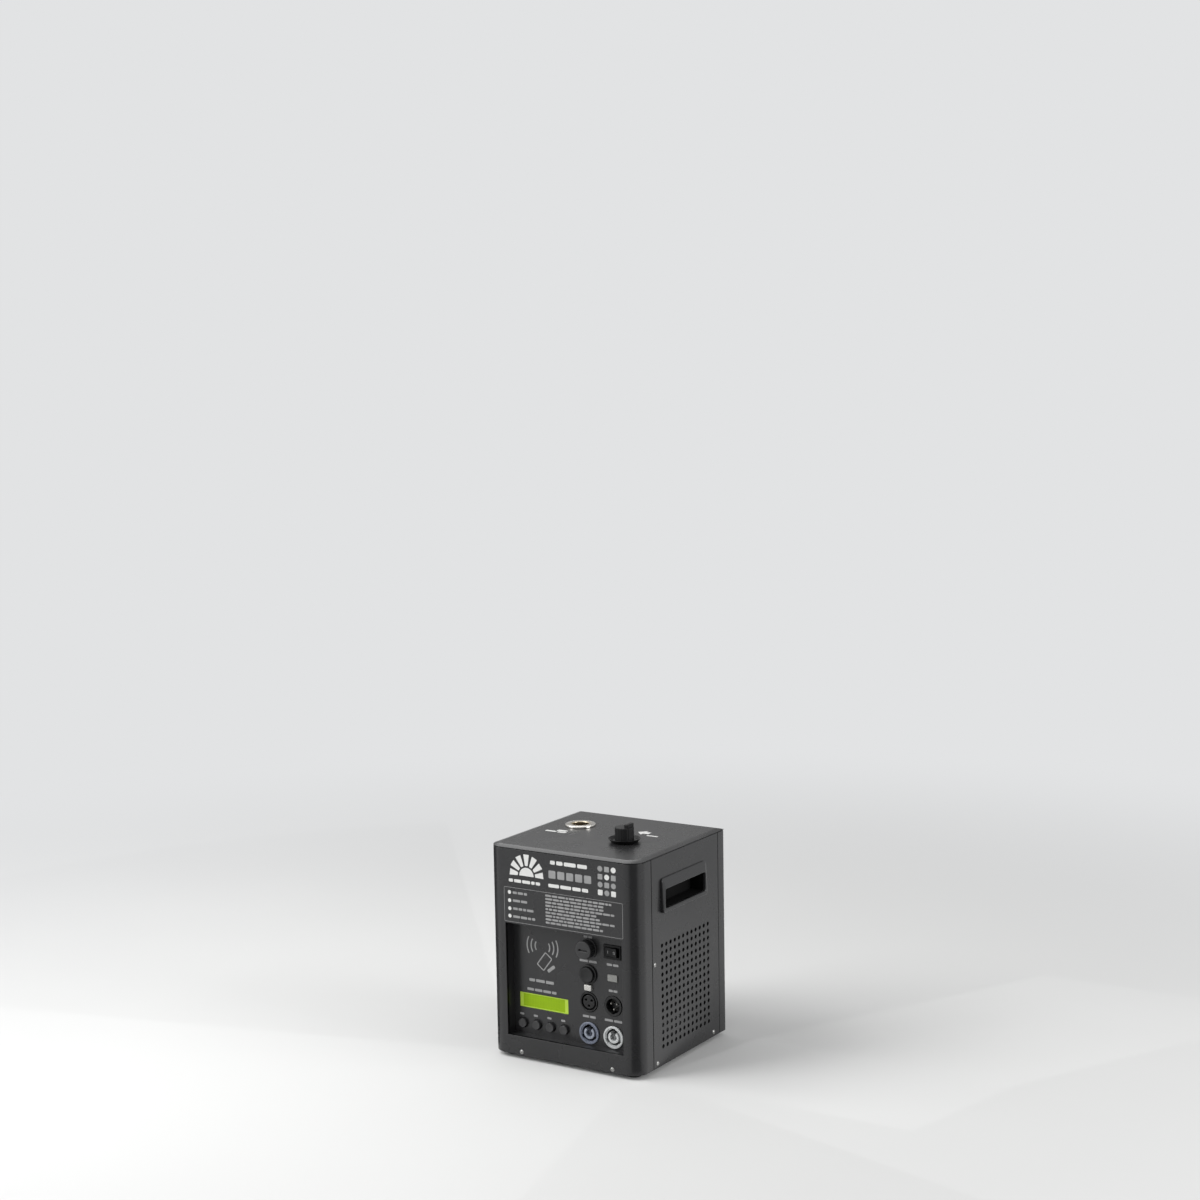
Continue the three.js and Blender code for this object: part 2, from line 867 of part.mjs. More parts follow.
// Display: the window glass in the panel and the module with its board behind it
const displayY = row(displayRow);
controls.add(
  piece(
    "lcd_glass",
    slab(displayX, displayY, displayWidth, displayHeight, -displaySunk - displayGlass, -displaySunk),
    displayGreen,
  ),
);
const displayBack = behindPanel - displayFrameDepth;
const displayModule = joined([
  slab(displayX, displayY, displayFrameWidth, displayFrameHeight, displayBack, behindPanel),
  slab(
    displayX,
    displayY,
    displayBoardWidth,
    displayBoardHeight,
    displayBack - boardThickness,
    displayBack,
  ),
]);
controls.add(piece("lcd_board", displayModule, boardGreen));

// Menu buttons: a cap, a flange that stops it behind the panel, and a stem for its switch
const stemEnd = behindPanel - menuFlange - menuStem;
const menuProfile = [
  [0, stemEnd],
  [menuStemRadius, stemEnd],
  [menuStemRadius, behindPanel - menuFlange],
  [menuFlangeRadius, behindPanel - menuFlange],
  [menuFlangeRadius, behindPanel],
  [menuRadius, behindPanel],
  [menuRadius, menuProud - menuEdge],
  [menuRadius - menuEdge, menuProud],
  [0, menuProud],
];
menuCentres.forEach((x, i) => {
  const button = piece(`menu_button_${i + 1}`, turned(menuProfile, menuSides), blackPlastic);
  button.position.set(x, row(menuRow), 0);
  controls.add(button);
});

// Board of the menu switches, on two posts behind the panel
function buttonBoard() {
  const tactFace = stemEnd - menuTravel - seatGap;
  const face = tactFace - tactHeight;
  const width = menuButtons * menuPitch + 2 * menuBoardMargin;
  const postX = width / 2 - standoff / 2;
  const y = row(menuRow);
  return joined([
    slab(displayX, y, width, menuBoardHeight, face - boardThickness, face),
    slab(displayX - postX, y, standoff, standoff, face, behindPanel),
    slab(displayX + postX, y, standoff, standoff, face, behindPanel),
    ...menuCentres.map((x) => slab(x, y, tactSize, tactSize, face, tactFace)),
  ]);
}
controls.add(piece("button_board", buttonBoard(), boardGreen));

// Locking mains sockets: a round housing with its ring on the panel, and a keyed core inside
const powerFront = seatGap + powerRing;
const powerBack = panelBack - powerBarrel;
const powerFloor = powerFront - powerCavity;
const powerHousing = [
  [0, powerBack],
  [powerBarrelRadius, powerBack],
  [powerBarrelRadius, seatGap],
  [powerRingRadius, seatGap],
  [powerRingRadius, powerFront],
  [powerCavityRadius, powerFront],
  [powerCavityRadius, powerFloor],
  [0, powerFloor],
];
function powerCore() {
  const top = powerFront - powerCoreSunk;
  const core = bar(powerCoreRadius, powerFloor + seatGap, top, powerSides);
  const keys = [0, 1, 2].map((i) => {
    const angle = quarterTurn + (i * fullTurn) / 3;
    const x = powerCoreRadius * Math.cos(angle);
    const y = powerCoreRadius * Math.sin(angle);
    const side = 2 * powerKeyDepth;
    return slab(x, y, powerKeyWidth, side, top - powerKeyDepth, top + overrun);
  });
  return cut(core, keys);
}
for (const [name, x, ring, core] of [
  ["power_in", columnA, blueRing, bluePlastic],
  ["power_out", columnB, greyPlastic, greyPlastic],
]) {
  const housing = piece(`${name}_socket`, turned(powerHousing, powerSides), ring);
  const centre = piece(`${name}_core`, powerCore(), core);
  housing.position.set(x, row(powerRow), 0);
  centre.position.set(x, row(powerRow), 0);
  controls.add(housing, centre);
}

// Signal sockets: round faces in the panel, each with a plate behind it
const signalBack = panelBack - signalBarrel;
const signalPlateY = (signalFaceRadius - signalFlangeBelow) / 2;
const signalPlate = slab(
  0,
  signalPlateY,
  signalFlangeWidth,
  signalFaceRadius + signalFlangeBelow,
  behindPanel - signalFlange,
  behindPanel,
);
const contactPlaces = contactAngles.map((angle) => [
  contactCircle * Math.cos(angle),
  contactCircle * Math.sin(angle),
]);
function femaleSocket() {
  const body = joined([bar(signalFaceRadius, signalBack, signalProud, signalSides), signalPlate]);
  const groove = turnedRing(
    [
      [grooveInner, signalProud - grooveDepth],
      [grooveOuter, signalProud - grooveDepth],
      [grooveOuter, signalProud + overrun],
      [grooveInner, signalProud + overrun],
    ],
    signalSides,
  );
  const holes = contactPlaces.map(([x, y]) =>
    bar(contactRadius, signalProud - grooveDepth, signalProud + overrun, contactSides, x, y),
  );
  return cut(body, [groove, ...holes]);
}
const female = piece("signal_out_socket", femaleSocket(), blackPlastic);
female.position.set(columnA, row(signalRow), 0);

const maleShell = cut(
  joined([bar(signalFaceRadius, signalBack, signalProud, signalSides), signalPlate]),
  [bar(pinCavityRadius, signalProud - pinCavity, signalProud + overrun, signalSides)],
);
const male = piece("signal_in_socket", maleShell, blackPlastic);
male.position.set(columnB, row(signalRow), 0);

const insertFoot = signalProud - pinCavity + seatGap;
const insertTop = insertFoot + insertThickness;
const insertBody = joined([
  bar(pinCavityRadius - 2 * seatGap, insertFoot, insertTop, signalSides),
  ...contactPlaces.map(([x, y]) =>
    bar(pinRadius, insertTop - insertThickness / 2, insertTop + pinLength, contactSides, x, y),
  ),
]);
const insert = piece("signal_in_insert", insertBody, stainless);
insert.position.copy(male.position);
controls.add(female, male, insert);

// Push latch of the female socket: a bright tab in its own slot, stopped behind the panel
const latchOutline = rectangle(new THREE.Shape(), 0, 0, latchWidth, latchHeight);
const latchBody = joined([
  roundedPrism(latchOutline, behindPanel - latchBack, latchProud, latchEdge, 1, 1),
  slab(0, 0, latchWidth, latchStopHeight, behindPanel - latchStop, behindPanel),
]);
const latch = piece("signal_out_latch", latchBody, stainless);
latch.position.set(columnA, row(signalRow) + latchRise, 0);
controls.add(latch);

// Fuse holder: sleeve through the panel, pull-out carrier with the fuse, and the cap that turns on it
const fuseFront = seatGap + fuseFlange;
const fuseEnd = panelBack - fuseSleeve;
const fuseSleeveSolid = turnedRing(
  [
    [fuseBoreRadius, fuseEnd],
    [fuseSleeveRadius, fuseEnd],
    [fuseSleeveRadius, seatGap],
    [fuseFlangeRadius, seatGap],
    [fuseFlangeRadius, fuseFront],
    [fuseBoreRadius, fuseFront],
  ],
  fuseSides,
);
const carrierSolid = turnedRing(
  [
    [fuseCarrierBore, fuseFront - fuseCarrier],
    [fuseCarrierRadius, fuseFront - fuseCarrier],
    [fuseCarrierRadius, fuseFront],
    [fuseCarrierBore, fuseFront],
  ],
  fuseSides,
);
const capFoot = fuseFront + seatGap;
const capTop = capFoot + fuseCap;
const capBody = turned(
  [
    [0, capFoot],
    [fuseCapRadius, capFoot],
    [fuseCapRadius, capTop - fuseCapEdge],
    [fuseCapRadius - fuseCapEdge, capTop],
    [0, capTop],
  ],
  fuseSides,
);
const capSlot = slab(0, 0, fuseCapRadius, fuseSlotWidth, capTop - fuseSlotDepth, capTop + overrun);
const fuseTop = fuseFront - seatGap;
const fusePieces = [
  piece("fuse_holder", fuseSleeveSolid, blackPlastic),
  piece("fuse_carrier", carrierSolid, blackPlastic),
  piece("fuse_link", bar(fuseRadius, fuseTop - fuseLength, fuseTop, contactSides), clearGlass),
  piece("fuse_cap", capBody.subtract(capSlot), blackPlastic),
];
for (const mesh of fusePieces) {
  mesh.position.set(columnA, row(upperRow), 0);
  controls.add(mesh);
}

// Start button: a bezel with its tube through the panel, and a dished plunger
const startFront = seatGap + startBezel;
const startEnd = panelBack - startTube;
const bezelSolid = turned(
  [
    [0, startEnd],
    [startTubeRadius, startEnd],
    [startTubeRadius, seatGap],
    [startBezelRadius, seatGap],
    [startBezelRadius, startFront],
    [startBoreRadius, startFront],
    [startBoreRadius, startFront - startBore],
    [0, startFront - startBore],
  ],
  fuseSides,
);
const plungerTop = startFront + startProud;
const plungerSolid = turned(
  [
    [0, plungerTop - startLength],
    [startRadius, plungerTop - startLength],
    [startRadius, plungerTop],
    [startRadius - startDish, plungerTop],
    [0, plungerTop - startDish],
  ],
  fuseSides,
);
const bezel = piece("start_bezel", bezelSolid, blackPlastic);
const plunger = piece("start_button", plungerSolid, blackPlastic);
for (const mesh of [bezel, plunger]) {
  mesh.position.set(columnA, row(middleRow), 0);
  controls.add(mesh);
}

// Rocker switch: a body with a well, and the rocker that tips about an upright pivot
const switchFront = seatGap + switchFlange;
const switchBodySolid = cut(
  joined([
    slab(0, 0, switchFlangeWidth, switchFlangeHeight, seatGap, switchFront),
    slab(0, 0, switchBodyWidth, switchBodyHeight, panelBack - switchBody, switchFront),
  ]),
  [slab(0, 0, switchWellWidth, switchWellHeight, switchFront - switchWell, switchFront + overrun)],
);
const rockerOutline = new THREE.Shape();
rockerOutline.moveTo(-rockerHalf, rockerRise);
rockerOutline.lineTo(-rockerBackHalf, -rockerBack);
rockerOutline.lineTo(rockerBackHalf, -rockerBack);
rockerOutline.lineTo(rockerHalf, rockerRise);
rockerOutline.lineTo(0, rockerDip);
rockerOutline.closePath();
const rockerGeometry = new THREE.ExtrudeGeometry(rockerOutline, {
  depth: rockerHeight,
  bevelEnabled: false,
});
rockerGeometry.translate(0, 0, -rockerHeight / 2);
rockerGeometry.rotateX(quarterTurn);
const rocker = piece("switch_rocker", solidFrom(rockerGeometry), blackPlastic);
rocker.position.set(columnB, row(upperRow), 0);
rocker.rotation.set(0, -rockerTilt, 0);
controls.add(rocker);
const switchBodyMesh = piece("switch_body", switchBodySolid, blackPlastic);
switchBodyMesh.position.set(columnB, row(upperRow), 0);
controls.add(switchBodyMesh);

// Indicator lamp: a lens on the panel with its body through it
const lampSolid = joined([
  slab(0, 0, lampWidth, lampHeight, seatGap, seatGap + lampProud),
  slab(0, 0, lampWidth - 2 * lampShrink, lampHeight - 2 * lampShrink, panelBack - lampDepth, seatGap),
]);
const lamp = piece("indicator_lamp", lampSolid, lampWhite);
lamp.position.set(columnB, row(middleRow), 0);
controls.add(lamp);

// Card reader board behind the bare part of the panel
const readerBack = behindPanel - boardThickness;
const readerSolid = joined([
  slab(readerX, row(readerRow), readerWidth, readerHeight, readerBack, behindPanel),
  slab(readerX, row(readerRow), readerChip, readerChip, readerBack - readerChipDepth, readerBack),
]);
controls.add(piece("card_reader_board", readerSolid, boardGreen));

// Nozzle: a stainless flange with a spigot through the lid, and the tube that meets it from below
const spigotLow = lidUnder - nozzleSpigotDrop;
const flangeLow = lidTop + seatGap;
const flangeTop = flangeLow + nozzleFlange;
const nozzleRing = turnedRing(
  [
    [nozzleBore, spigotLow],
    [nozzleSpigotRadius, spigotLow],
    [nozzleSpigotRadius, flangeLow],
    [nozzleFlangeRadius, flangeLow],
    [nozzleFlangeRadius, flangeTop - nozzleEdge],
    [nozzleFlangeRadius - nozzleEdge, flangeTop],
    [nozzleBore + nozzleEdge, flangeTop],
    [nozzleBore, flangeTop - nozzleEdge],
  ],
  nozzleSides,
);
const nozzleTube = turnedRing(
  [
    [nozzleBore, barrelTop + seatGap],
    [barrelRadius, barrelTop + seatGap],
    [barrelRadius, nozzleTubeTop],
    [nozzleBore, nozzleTubeTop],
  ],
  barrelSides,
);

// Heated barrel: base flange on the shelf, side port of the feeder, and the ring under the jacket
const shelfLow = barrelFoot + barrelShelfRow;
const shelfTop = shelfLow + barrelShelf;
const barrelTube = turnedRing(
  [
    [nozzleBore, barrelFoot],
    [barrelBaseRadius, barrelFoot],
    [barrelBaseRadius, barrelFoot + barrelBase],
    [barrelRadius, barrelFoot + barrelBase],
    [barrelRadius, shelfLow],
    [barrelShelfRadius, shelfLow],
    [barrelShelfRadius, shelfTop],
    [barrelRadius, shelfTop],
    [barrelRadius, barrelTop],
    [nozzleBore, barrelTop],
  ],
  barrelSides,
);
const portGeometry = new THREE.CylinderGeometry(augerBore, augerBore, barrelRadius + overrun, augerSides);
portGeometry.rotateZ(quarterTurn);
portGeometry.translate((barrelRadius + overrun) / 2, 0, augerZ);
const barrel = barrelTube.subtract(solidFrom(portGeometry));
const jacketLow = shelfTop + seatGap;
const jacket = turnedRing(
  [
    [jacketBore, jacketLow],
    [jacketRadius, jacketLow],
    [jacketRadius, jacketLow + jacketHeight],
    [jacketBore, jacketLow + jacketHeight],
  ],
  barrelSides,
);

// Heater coil: a wire wound round the barrel inside the jacket
class Winding extends THREE.Curve {
  getPoint(t) {
    const angle = t * coilTurns * fullTurn;
    const radius = barrelRadius + coilWire / 2 + coilClearance;
    const level = jacketLow + coilLift + t * coilTurns * coilPitch;
    return new THREE.Vector3(radius * Math.cos(angle), radius * Math.sin(angle), level);
  }
}
const wireSection = polygon(new THREE.Shape(), 0, 0, coilWire / 2, coilSides);
const coilGeometry = new THREE.ExtrudeGeometry(wireSection, {
  steps: coilTurns * coilStepsPerTurn,
  extrudePath: new Winding(),
  bevelEnabled: false,
});
const hotSection = new THREE.Group();
hotSection.position.set(nozzleX, nozzleY, 0);
hotSection.add(
  piece("nozzle_ring", nozzleRing, stainless),
  piece("nozzle_tube", nozzleTube, stainless),
  piece("furnace_barrel", barrel, stainless),
  piece("heater_coil", solidFrom(coilGeometry), copper),
  piece("insulation_jacket", jacket, mineral),
);
machine.add(hotSection);

// Filling port: a flared collar whose throat reaches the tank, a rubber plug, and the knob on it
const collarLow = lidTop + seatGap;
const collarTop = collarLow + collarHeight;
const collarFloorZ = collarLow + collarFloor;
const throatLow = lidTop - throatDrop;
const collar = turnedRing(
  [
    [feedBore, throatLow],
    [throatRadius, throatLow],
    [throatRadius, collarLow],
    [collarFoot, collarLow],
    [collarRadius, collarTop],
    [collarRadius - collarLip, collarTop],
    [collarFloorRadius, collarFloorZ],
    [feedBore, collarFloorZ],
  ],
  collarSides,
);
const plugTop = collarFloorZ + seatGap;
const plugRadius = feedBore - plugFit;
const plugMiddle = plugTop - plugDepth / 2;
const plug = turned(
  [
    [0, plugTop - plugDepth],
    [plugRadius, plugTop - plugDepth],
    [plugRadius, plugMiddle - plugGroove],
    [plugRadius - plugGroove, plugMiddle - plugGroove],
    [plugRadius - plugGroove, plugMiddle + plugGroove],
    [plugRadius, plugMiddle + plugGroove],
    [plugRadius, plugTop],
    [0, plugTop],
  ],
  collarSides,
);
const knobLow = plugTop + seatGap;
const knobTop = knobLow + knobHeight;
const knobBody = turned(
  [
    [0, knobLow],
    [knobRadius, knobLow],
    [knobRadius, knobTop - knobEdge],
    [knobRadius - knobEdge, knobTop],
    [0, knobTop],
  ],
  collarSides,
);
const tabOuter = Math.sqrt(knobRadius ** 2 - (knobTabLength / 2) ** 2) - knobEdge;
const knobTab = block(
  [tabOuter - knobTabWidth, -knobTabLength / 2, knobTop - knobEdge],
  [tabOuter, knobTabLength / 2, knobTop + knobTabHeight],
);
const fillingPort = new THREE.Group();
fillingPort.position.set(feedX, feedY, 0);
fillingPort.add(
  piece("feed_collar", collar, blackPlastic),
  piece("feed_plug", plug, blackRubber),
  piece("feed_cap", joined([knobBody, knobTab]), blackPlastic),
);
machine.add(fillingPort);

// A four-sided funnel between two rectangles given as [low x, low y, high x, high y]
function funnel(lowRectangle, low, highRectangle, high) {
  const corners = ([x0, y0, x1, y1], z) => [x0, y0, z, x1, y0, z, x1, y1, z, x0, y1, z];
  const geometry = new THREE.BufferGeometry();
  const positions = [...corners(lowRectangle, low), ...corners(highRectangle, high)];
  geometry.setAttribute("position", new THREE.BufferAttribute(new Float32Array(positions), 3));
  const faces = [0, 2, 1, 0, 3, 2, 4, 5, 6, 4, 6, 7];
  for (let i = 0; i < 4; i += 1) {
    const next = (i + 1) % 4;
    faces.push(i, next, next + 4, i, next + 4, i + 4);
  }
  geometry.setIndex(faces);
  return solidFrom(geometry);
}

// Granule tank: a folded funnel, wide under the filling port, that narrows on to the feeder tube
function tank() {
  const grow = (rectangle, by) => rectangle.map((value, i) => (i < 2 ? value - by : value + by));
  const high = [hopperLowX, hopperLowY, hopperHighX, hopperLowY + hopperDepth];
  const low = [
    feedX - outletWidth / 2,
    nozzleY - outletDepth / 2,
    feedX + outletWidth / 2,
    nozzleY + outletDepth / 2,
  ];
  const outer = funnel(low, hopperFoot, high, hopperTop);
  const inner = funnel(
    grow(low, -hopperWall),
    hopperFoot + hopperWall,
    grow(high, -hopperWall),
    hopperTop - hopperWall,
  );
  const outlet = block(
    [low[0] + hopperWall, low[1] + hopperWall, hopperFoot - overrun],
    [low[2] - hopperWall, low[3] - hopperWall, hopperFoot + 2 * hopperWall],
  );
  const mouth = bar(
    throatRadius + panelFit,
    hopperTop - hopperWall - overrun,
    hopperTop + overrun,
    collarSides,
    feedX,
    feedY,
  );
  return cut(outer, [inner, outlet, mouth]);
}
machine.add(piece("hopper", tank(), steelSheet));

// Shelf of the hot section: a plate with upturned sides, and the air hole under the barrel
const deckHalf = innerSideX - seatGap;
const deck = cut(
  joined([
    block([-deckHalf, deckFront, deckUnder], [deckHalf, deckRear, deckTop]),
    block([-deckHalf, deckFront, deckUnder], [-deckHalf + sheet, deckRear, deckUnder + deckFlange]),
    block([deckHalf - sheet, deckFront, deckUnder], [deckHalf, deckRear, deckUnder + deckFlange]),
  ]),
  [bar(nozzleBore, deckUnder - overrun, deckTop + overrun, barrelSides, nozzleX, nozzleY)],
);
machine.add(piece("inner_deck", deck, steelSheet));

// The feeder and the blower stand in a frame turned so that x runs along the case, y up, z along X
const sideways = new THREE.Group();
sideways.rotation.set(quarterTurn, 0, quarterTurn, "ZXY");
machine.add(sideways);

// Feeder tube on its saddle, open at the top under the tank
function feederTube() {
  const middle = (augerZ + deckTop + seatGap) / 2;
  const saddleHeight = augerZ - deckTop - seatGap;
  return cut(
    joined([
      bar(augerTubeRadius, augerTubeStart, augerTubeEnd, augerSides, nozzleY, augerZ),
      slab(nozzleY, middle, saddleWidth, saddleHeight, saddleX, saddleX + saddleLength),
    ]),
    [
      bar(augerBore, augerTubeStart - overrun, augerTubeEnd + overrun, augerSides, nozzleY, augerZ),
      slab(
        nozzleY,
        augerZ + augerTubeRadius,
        augerSlotWidth,
        augerTubeRadius,
        feedX - outletWidth / 2 + hopperWall,
        feedX + outletWidth / 2 - hopperWall,
      ),
    ],
  );
}

// Feeder screw: a rectangular ribbon carried along a helix and joined to its shaft
const screwLow = augerTubeStart + augerStart;
function screwFlight() {
  const flightLength = augerTubeEnd - augerEndSpace - screwLow - augerFlight;
  const steps = Math.round((flightLength / augerPitch) * augerStepsPerTurn);
  const half = augerFlight / 2;
  const root = augerShaftRadius / 2;
  const section = [
    [root, -half],
    [augerFlightRadius, -half],
    [augerFlightRadius, half],
    [root, half],
  ];
  const positions = [];
  const faces = [];
  for (let step = 0; step <= steps; step += 1) {
    const turns = step / augerStepsPerTurn;
    const angle = turns * fullTurn;
    for (const [radius, offset] of section) {
      const level = turns * augerPitch + offset;
      positions.push(radius * Math.cos(angle), radius * Math.sin(angle), level);
    }
  }
  for (let step = 0; step < steps; step += 1) {
    for (let side = 0; side < section.length; side += 1) {
      const a = step * section.length + side;
      const b = step * section.length + ((side + 1) % section.length);
      const c = a + section.length;
      const d = b + section.length;
      faces.push(b, a, c, b, c, d);
    }
  }
  const end = steps * section.length;
  faces.push(0, 1, 2, 0, 2, 3, end, end + 2, end + 1, end, end + 3, end + 2);
  const geometry = new THREE.BufferGeometry();
  geometry.setAttribute("position", new THREE.BufferAttribute(new Float32Array(positions), 3));
  geometry.setIndex(faces);
  return solidFrom(geometry);
}
const screwShaft = bar(augerShaftRadius, 0, gearStart + gearWidth - screwLow, augerShaftSides);
const screw = piece(
  "auger_screw",
  joined([screwFlight().translate([0, 0, augerFlight / 2]), screwShaft]),
  steelSheet,
);
screw.position.set(nozzleY, augerZ, screwLow);

// Spur gear outline: straight-flanked teeth, the first one or the first gap on the x axis
function gearOutline(teeth, pitchRadius, offset) {
  const tip = pitchRadius + toothModule * toothAddendum_share;
  const root = pitchRadius - toothModule * toothDedendum_share;
  const pitch = fullTurn / teeth;
  const outline = new THREE.Shape();
  for (let tooth = 0; tooth < teeth; tooth += 1) {
    const middle = (tooth + offset) * pitch;
    for (const [radius, share] of [
      [root, -toothRoot_share],
      [tip, -toothTip_share],
      [tip, toothTip_share],
      [root, toothRoot_share],
    ]) {
      const angle = middle + (share * pitch) / 2;
      const x = radius * Math.cos(angle);
      const y = radius * Math.sin(angle);
      if (tooth === 0 && share === -toothRoot_share) outline.moveTo(x, y);
      else outline.lineTo(x, y);
    }
  }
  outline.closePath();
  return outline;
}
const gearWheel = gearOutline(gearTeeth, gearPitchRadius, 0.5);
gearWheel.holes.push(
  polygon(new THREE.Path(), 0, 0, augerShaftRadius + shaftPlay, augerShaftSides),
);
const gear = piece("auger_gear", prism(gearWheel, 0, gearWidth), brass);
gear.position.set(nozzleY, augerZ, gearStart);
const gearboxEnd = gearStart - seatGap;
const pinionShaft = bar(
  augerShaftRadius,
  gearboxEnd - gearboxShaft - gearStart + seatGap,
  gearWidth / 2,
  augerShaftSides,
);
const pinion = piece(
  "motor_pinion",
  joined([prism(gearOutline(pinionTeeth, pinionPitchRadius, 0), 0, gearWidth), pinionShaft]),
  brass,
);
pinion.position.set(motorY, augerZ, gearStart);

// Feed motor with its gearbox on a foot
const gearboxLow = gearboxEnd - gearboxLength;
const gearboxMiddle = (deckTop + seatGap + augerZ) / 2;
const feedMotor = cut(
  joined([
    slab(motorY, augerZ, gearboxSize, gearboxSize, gearboxLow, gearboxEnd),
    block(
      [motorY - gearboxSize / 2, deckTop + seatGap, gearboxLow],
      [motorY - gearboxSize / 2 + gearboxFootWidth, deckTop + seatGap + gearboxFoot, gearboxEnd],
    ),
    slab(
      motorY,
      gearboxMiddle,
      gearboxSize,
      augerZ - deckTop - seatGap,
      gearboxLow,
      gearboxEnd - gearboxLength / 2,
    ),
  ]),
  [
    bar(
      augerShaftRadius + shaftPlay,
      gearboxEnd - gearboxShaft,
      gearboxEnd + overrun,
      augerShaftSides,
      motorY,
      augerZ,
    ),
  ],
);
sideways.add(
  piece("auger_tube", feederTube(), steelSheet),
  screw,
  gear,
  pinion,
  piece("feed_motor", feedMotor, steelSheet),
);

// Blower housing: a spiral whose mouth points up at the barrel
const blowerZ = underside + blowerRow;
const mouthOuter = nozzleY - blowerMouth / 2 - blowerWall;
const mouthInner = nozzleY + blowerMouth / 2 + blowerWall;
const blowerY = mouthOuter + voluteEnd;
const mouthTop = deckUnder - seatGap;
function volute(inset) {
  const outline = new THREE.Shape();
  const sweep = voluteAngle + halfTurn;
  outline.moveTo(mouthOuter + inset, mouthTop);
  outline.lineTo(mouthInner - inset, mouthTop);
  for (let step = 0; step <= voluteSteps; step += 1) {
    const share = step / voluteSteps;
    const angle = voluteAngle - share * sweep;
    const radius = voluteStart + (voluteEnd - voluteStart) * share - inset;
    outline.lineTo(blowerY + radius * Math.cos(angle), blowerZ + radius * Math.sin(angle));
  }
  outline.closePath();
  return outline;
}
function blowerHousing() {
  const low = blowerLowX;
  const high = blowerHighX;
  const footHigh = blowerZ - wheelRadius;
  return cut(
    joined([
      prism(volute(0), low, high),
      block(
        [blowerY - blowerFootWidth / 2, panTop + seatGap, low],
        [blowerY + blowerFootWidth / 2, footHigh, high],
      ),
    ]),
    [
      prism(volute(blowerWall), low + blowerWall, high - blowerWall),
      slab(
        nozzleY,
        mouthTop,
        blowerMouth,
        2 * overrun,
        low + blowerWall,
        high - blowerWall,
      ),
      bar(blowerIntake, low - overrun, low + blowerWall + overrun, wheelSides, blowerY, blowerZ),
      bar(
        blowerShaftHole,
        high - blowerWall - overrun,
        high + overrun,
        augerShaftSides,
        blowerY,
        blowerZ,
      ),
    ],
  );
}

// Blower wheel: back disc and hub with forward-curved vanes, and the shaft into the motor
const wheelLow = blowerLowX + blowerWall + wheelSpace;
const wheelHigh = blowerHighX - blowerWall - wheelSpace;
function wheelVane(index) {
  const start = (index * fullTurn) / wheelVanes;
  const outline = new THREE.Shape();
  const side = [];
  for (let step = 0; step <= vaneSteps; step += 1) {
    const share = step / vaneSteps;
    const radius = wheelInner + (wheelRadius - wheelInner) * share;
    side.push([radius, start + vaneLean * share * share]);
  }
  const half = vaneThickness / 2;
  const points = [
    ...side.map(([radius, angle]) => [radius, angle - half / radius]),
    ...side.reverse().map(([radius, angle]) => [radius, angle + half / radius]),
  ];
  points.forEach(([radius, angle], i) => {
    const x = radius * Math.cos(angle);
    const y = radius * Math.sin(angle);
    if (i === 0) outline.moveTo(x, y);
    else outline.lineTo(x, y);
  });
  outline.closePath();
  return prism(outline, wheelLow, wheelHigh - wheelDisc / 2);
}
const wheelParts = [
  bar(wheelRadius, wheelHigh - wheelDisc, wheelHigh, wheelSides),
  bar(wheelHub, wheelLow + wheelSpace, wheelHigh, augerShaftSides),
  bar(
    wheelShaft,
    wheelHigh - wheelDisc,
    blowerHighX + blowerMotorBore - seatGap,
    augerShaftSides,
  ),
];
for (let i = 0; i < wheelVanes; i += 1) wheelParts.push(wheelVane(i));
const wheel = piece("blower_impeller", joined(wheelParts), blackPlastic);
wheel.position.set(blowerY, blowerZ, 0);

// Blower motor: a can on the closed side of the housing
const motorLow = blowerHighX + seatGap;
const blowerMotor = bar(blowerMotorRadius, motorLow, motorLow + blowerMotorLength, barrelSides).subtract(
  bar(wheelShaft + shaftPlay, motorLow - overrun, motorLow + blowerMotorBore, augerShaftSides),
);
const motor = piece("blower_motor", blowerMotor, steelSheet);
motor.position.set(blowerY, blowerZ, 0);
sideways.add(piece("blower_housing", blowerHousing(), blackPlastic), wheel, motor);

// Cooling fan inside the left side sheet, its z axis pointing into the case
const fan = new THREE.Group();
fan.position.set(seatGap - innerSideX, fanY, underside + fanRow);
fan.rotation.set(quarterTurn, 0, quarterTurn, "ZXY");
machine.add(fan);
function fanFrame() {
  const half = fanSize / 2;
  const ring = cut(block([-half, -half, 0], [half, half, fanDepth]), [
    bar(fanBoreRadius, -overrun, fanDepth + overrun, fanSides),
  ]);
  const strutLow = fanDepth - fanStrut;
  const strutLength = fanBoreRadius + half;
  return cut(
    joined([
      ring,
      slab(0, 0, strutLength, fanStrutWidth, strutLow, fanDepth),
      slab(0, 0, fanStrutWidth, strutLength, strutLow, fanDepth),
      bar(fanHubRadius, strutLow, fanDepth, barrelSides),
    ]),
    [bar(fanShaftRadius + shaftPlay, strutLow - overrun, fanDepth + overrun, augerShaftSides)],
  );
}
function fanRotor() {
  const hubTop = fanDepth - fanStrut - seatGap;
  const hubLow = hubTop - fanHubDepth;
  const parts = [
    bar(fanHubRadius, hubLow, hubTop, barrelSides),
    bar(fanShaftRadius, hubTop - fanStrut, fanDepth, augerShaftSides),
  ];
  const root = fanHubRadius / 2;
  for (let i = 0; i < fanBlades; i += 1) {
    const blade = new THREE.BoxGeometry(fanBladeTip - root, fanBladeChord, fanBladeThickness);
    blade.rotateX(fanBladePitch);
    blade.translate((fanBladeTip + root) / 2, 0, (hubLow + hubTop) / 2);
    blade.rotateZ((i * fullTurn) / fanBlades);
    parts.push(solidFrom(blade));
  }
  return joined(parts);
}
fan.add(piece("fan_frame", fanFrame(), blackPlastic), piece("fan_rotor", fanRotor(), blackPlastic));

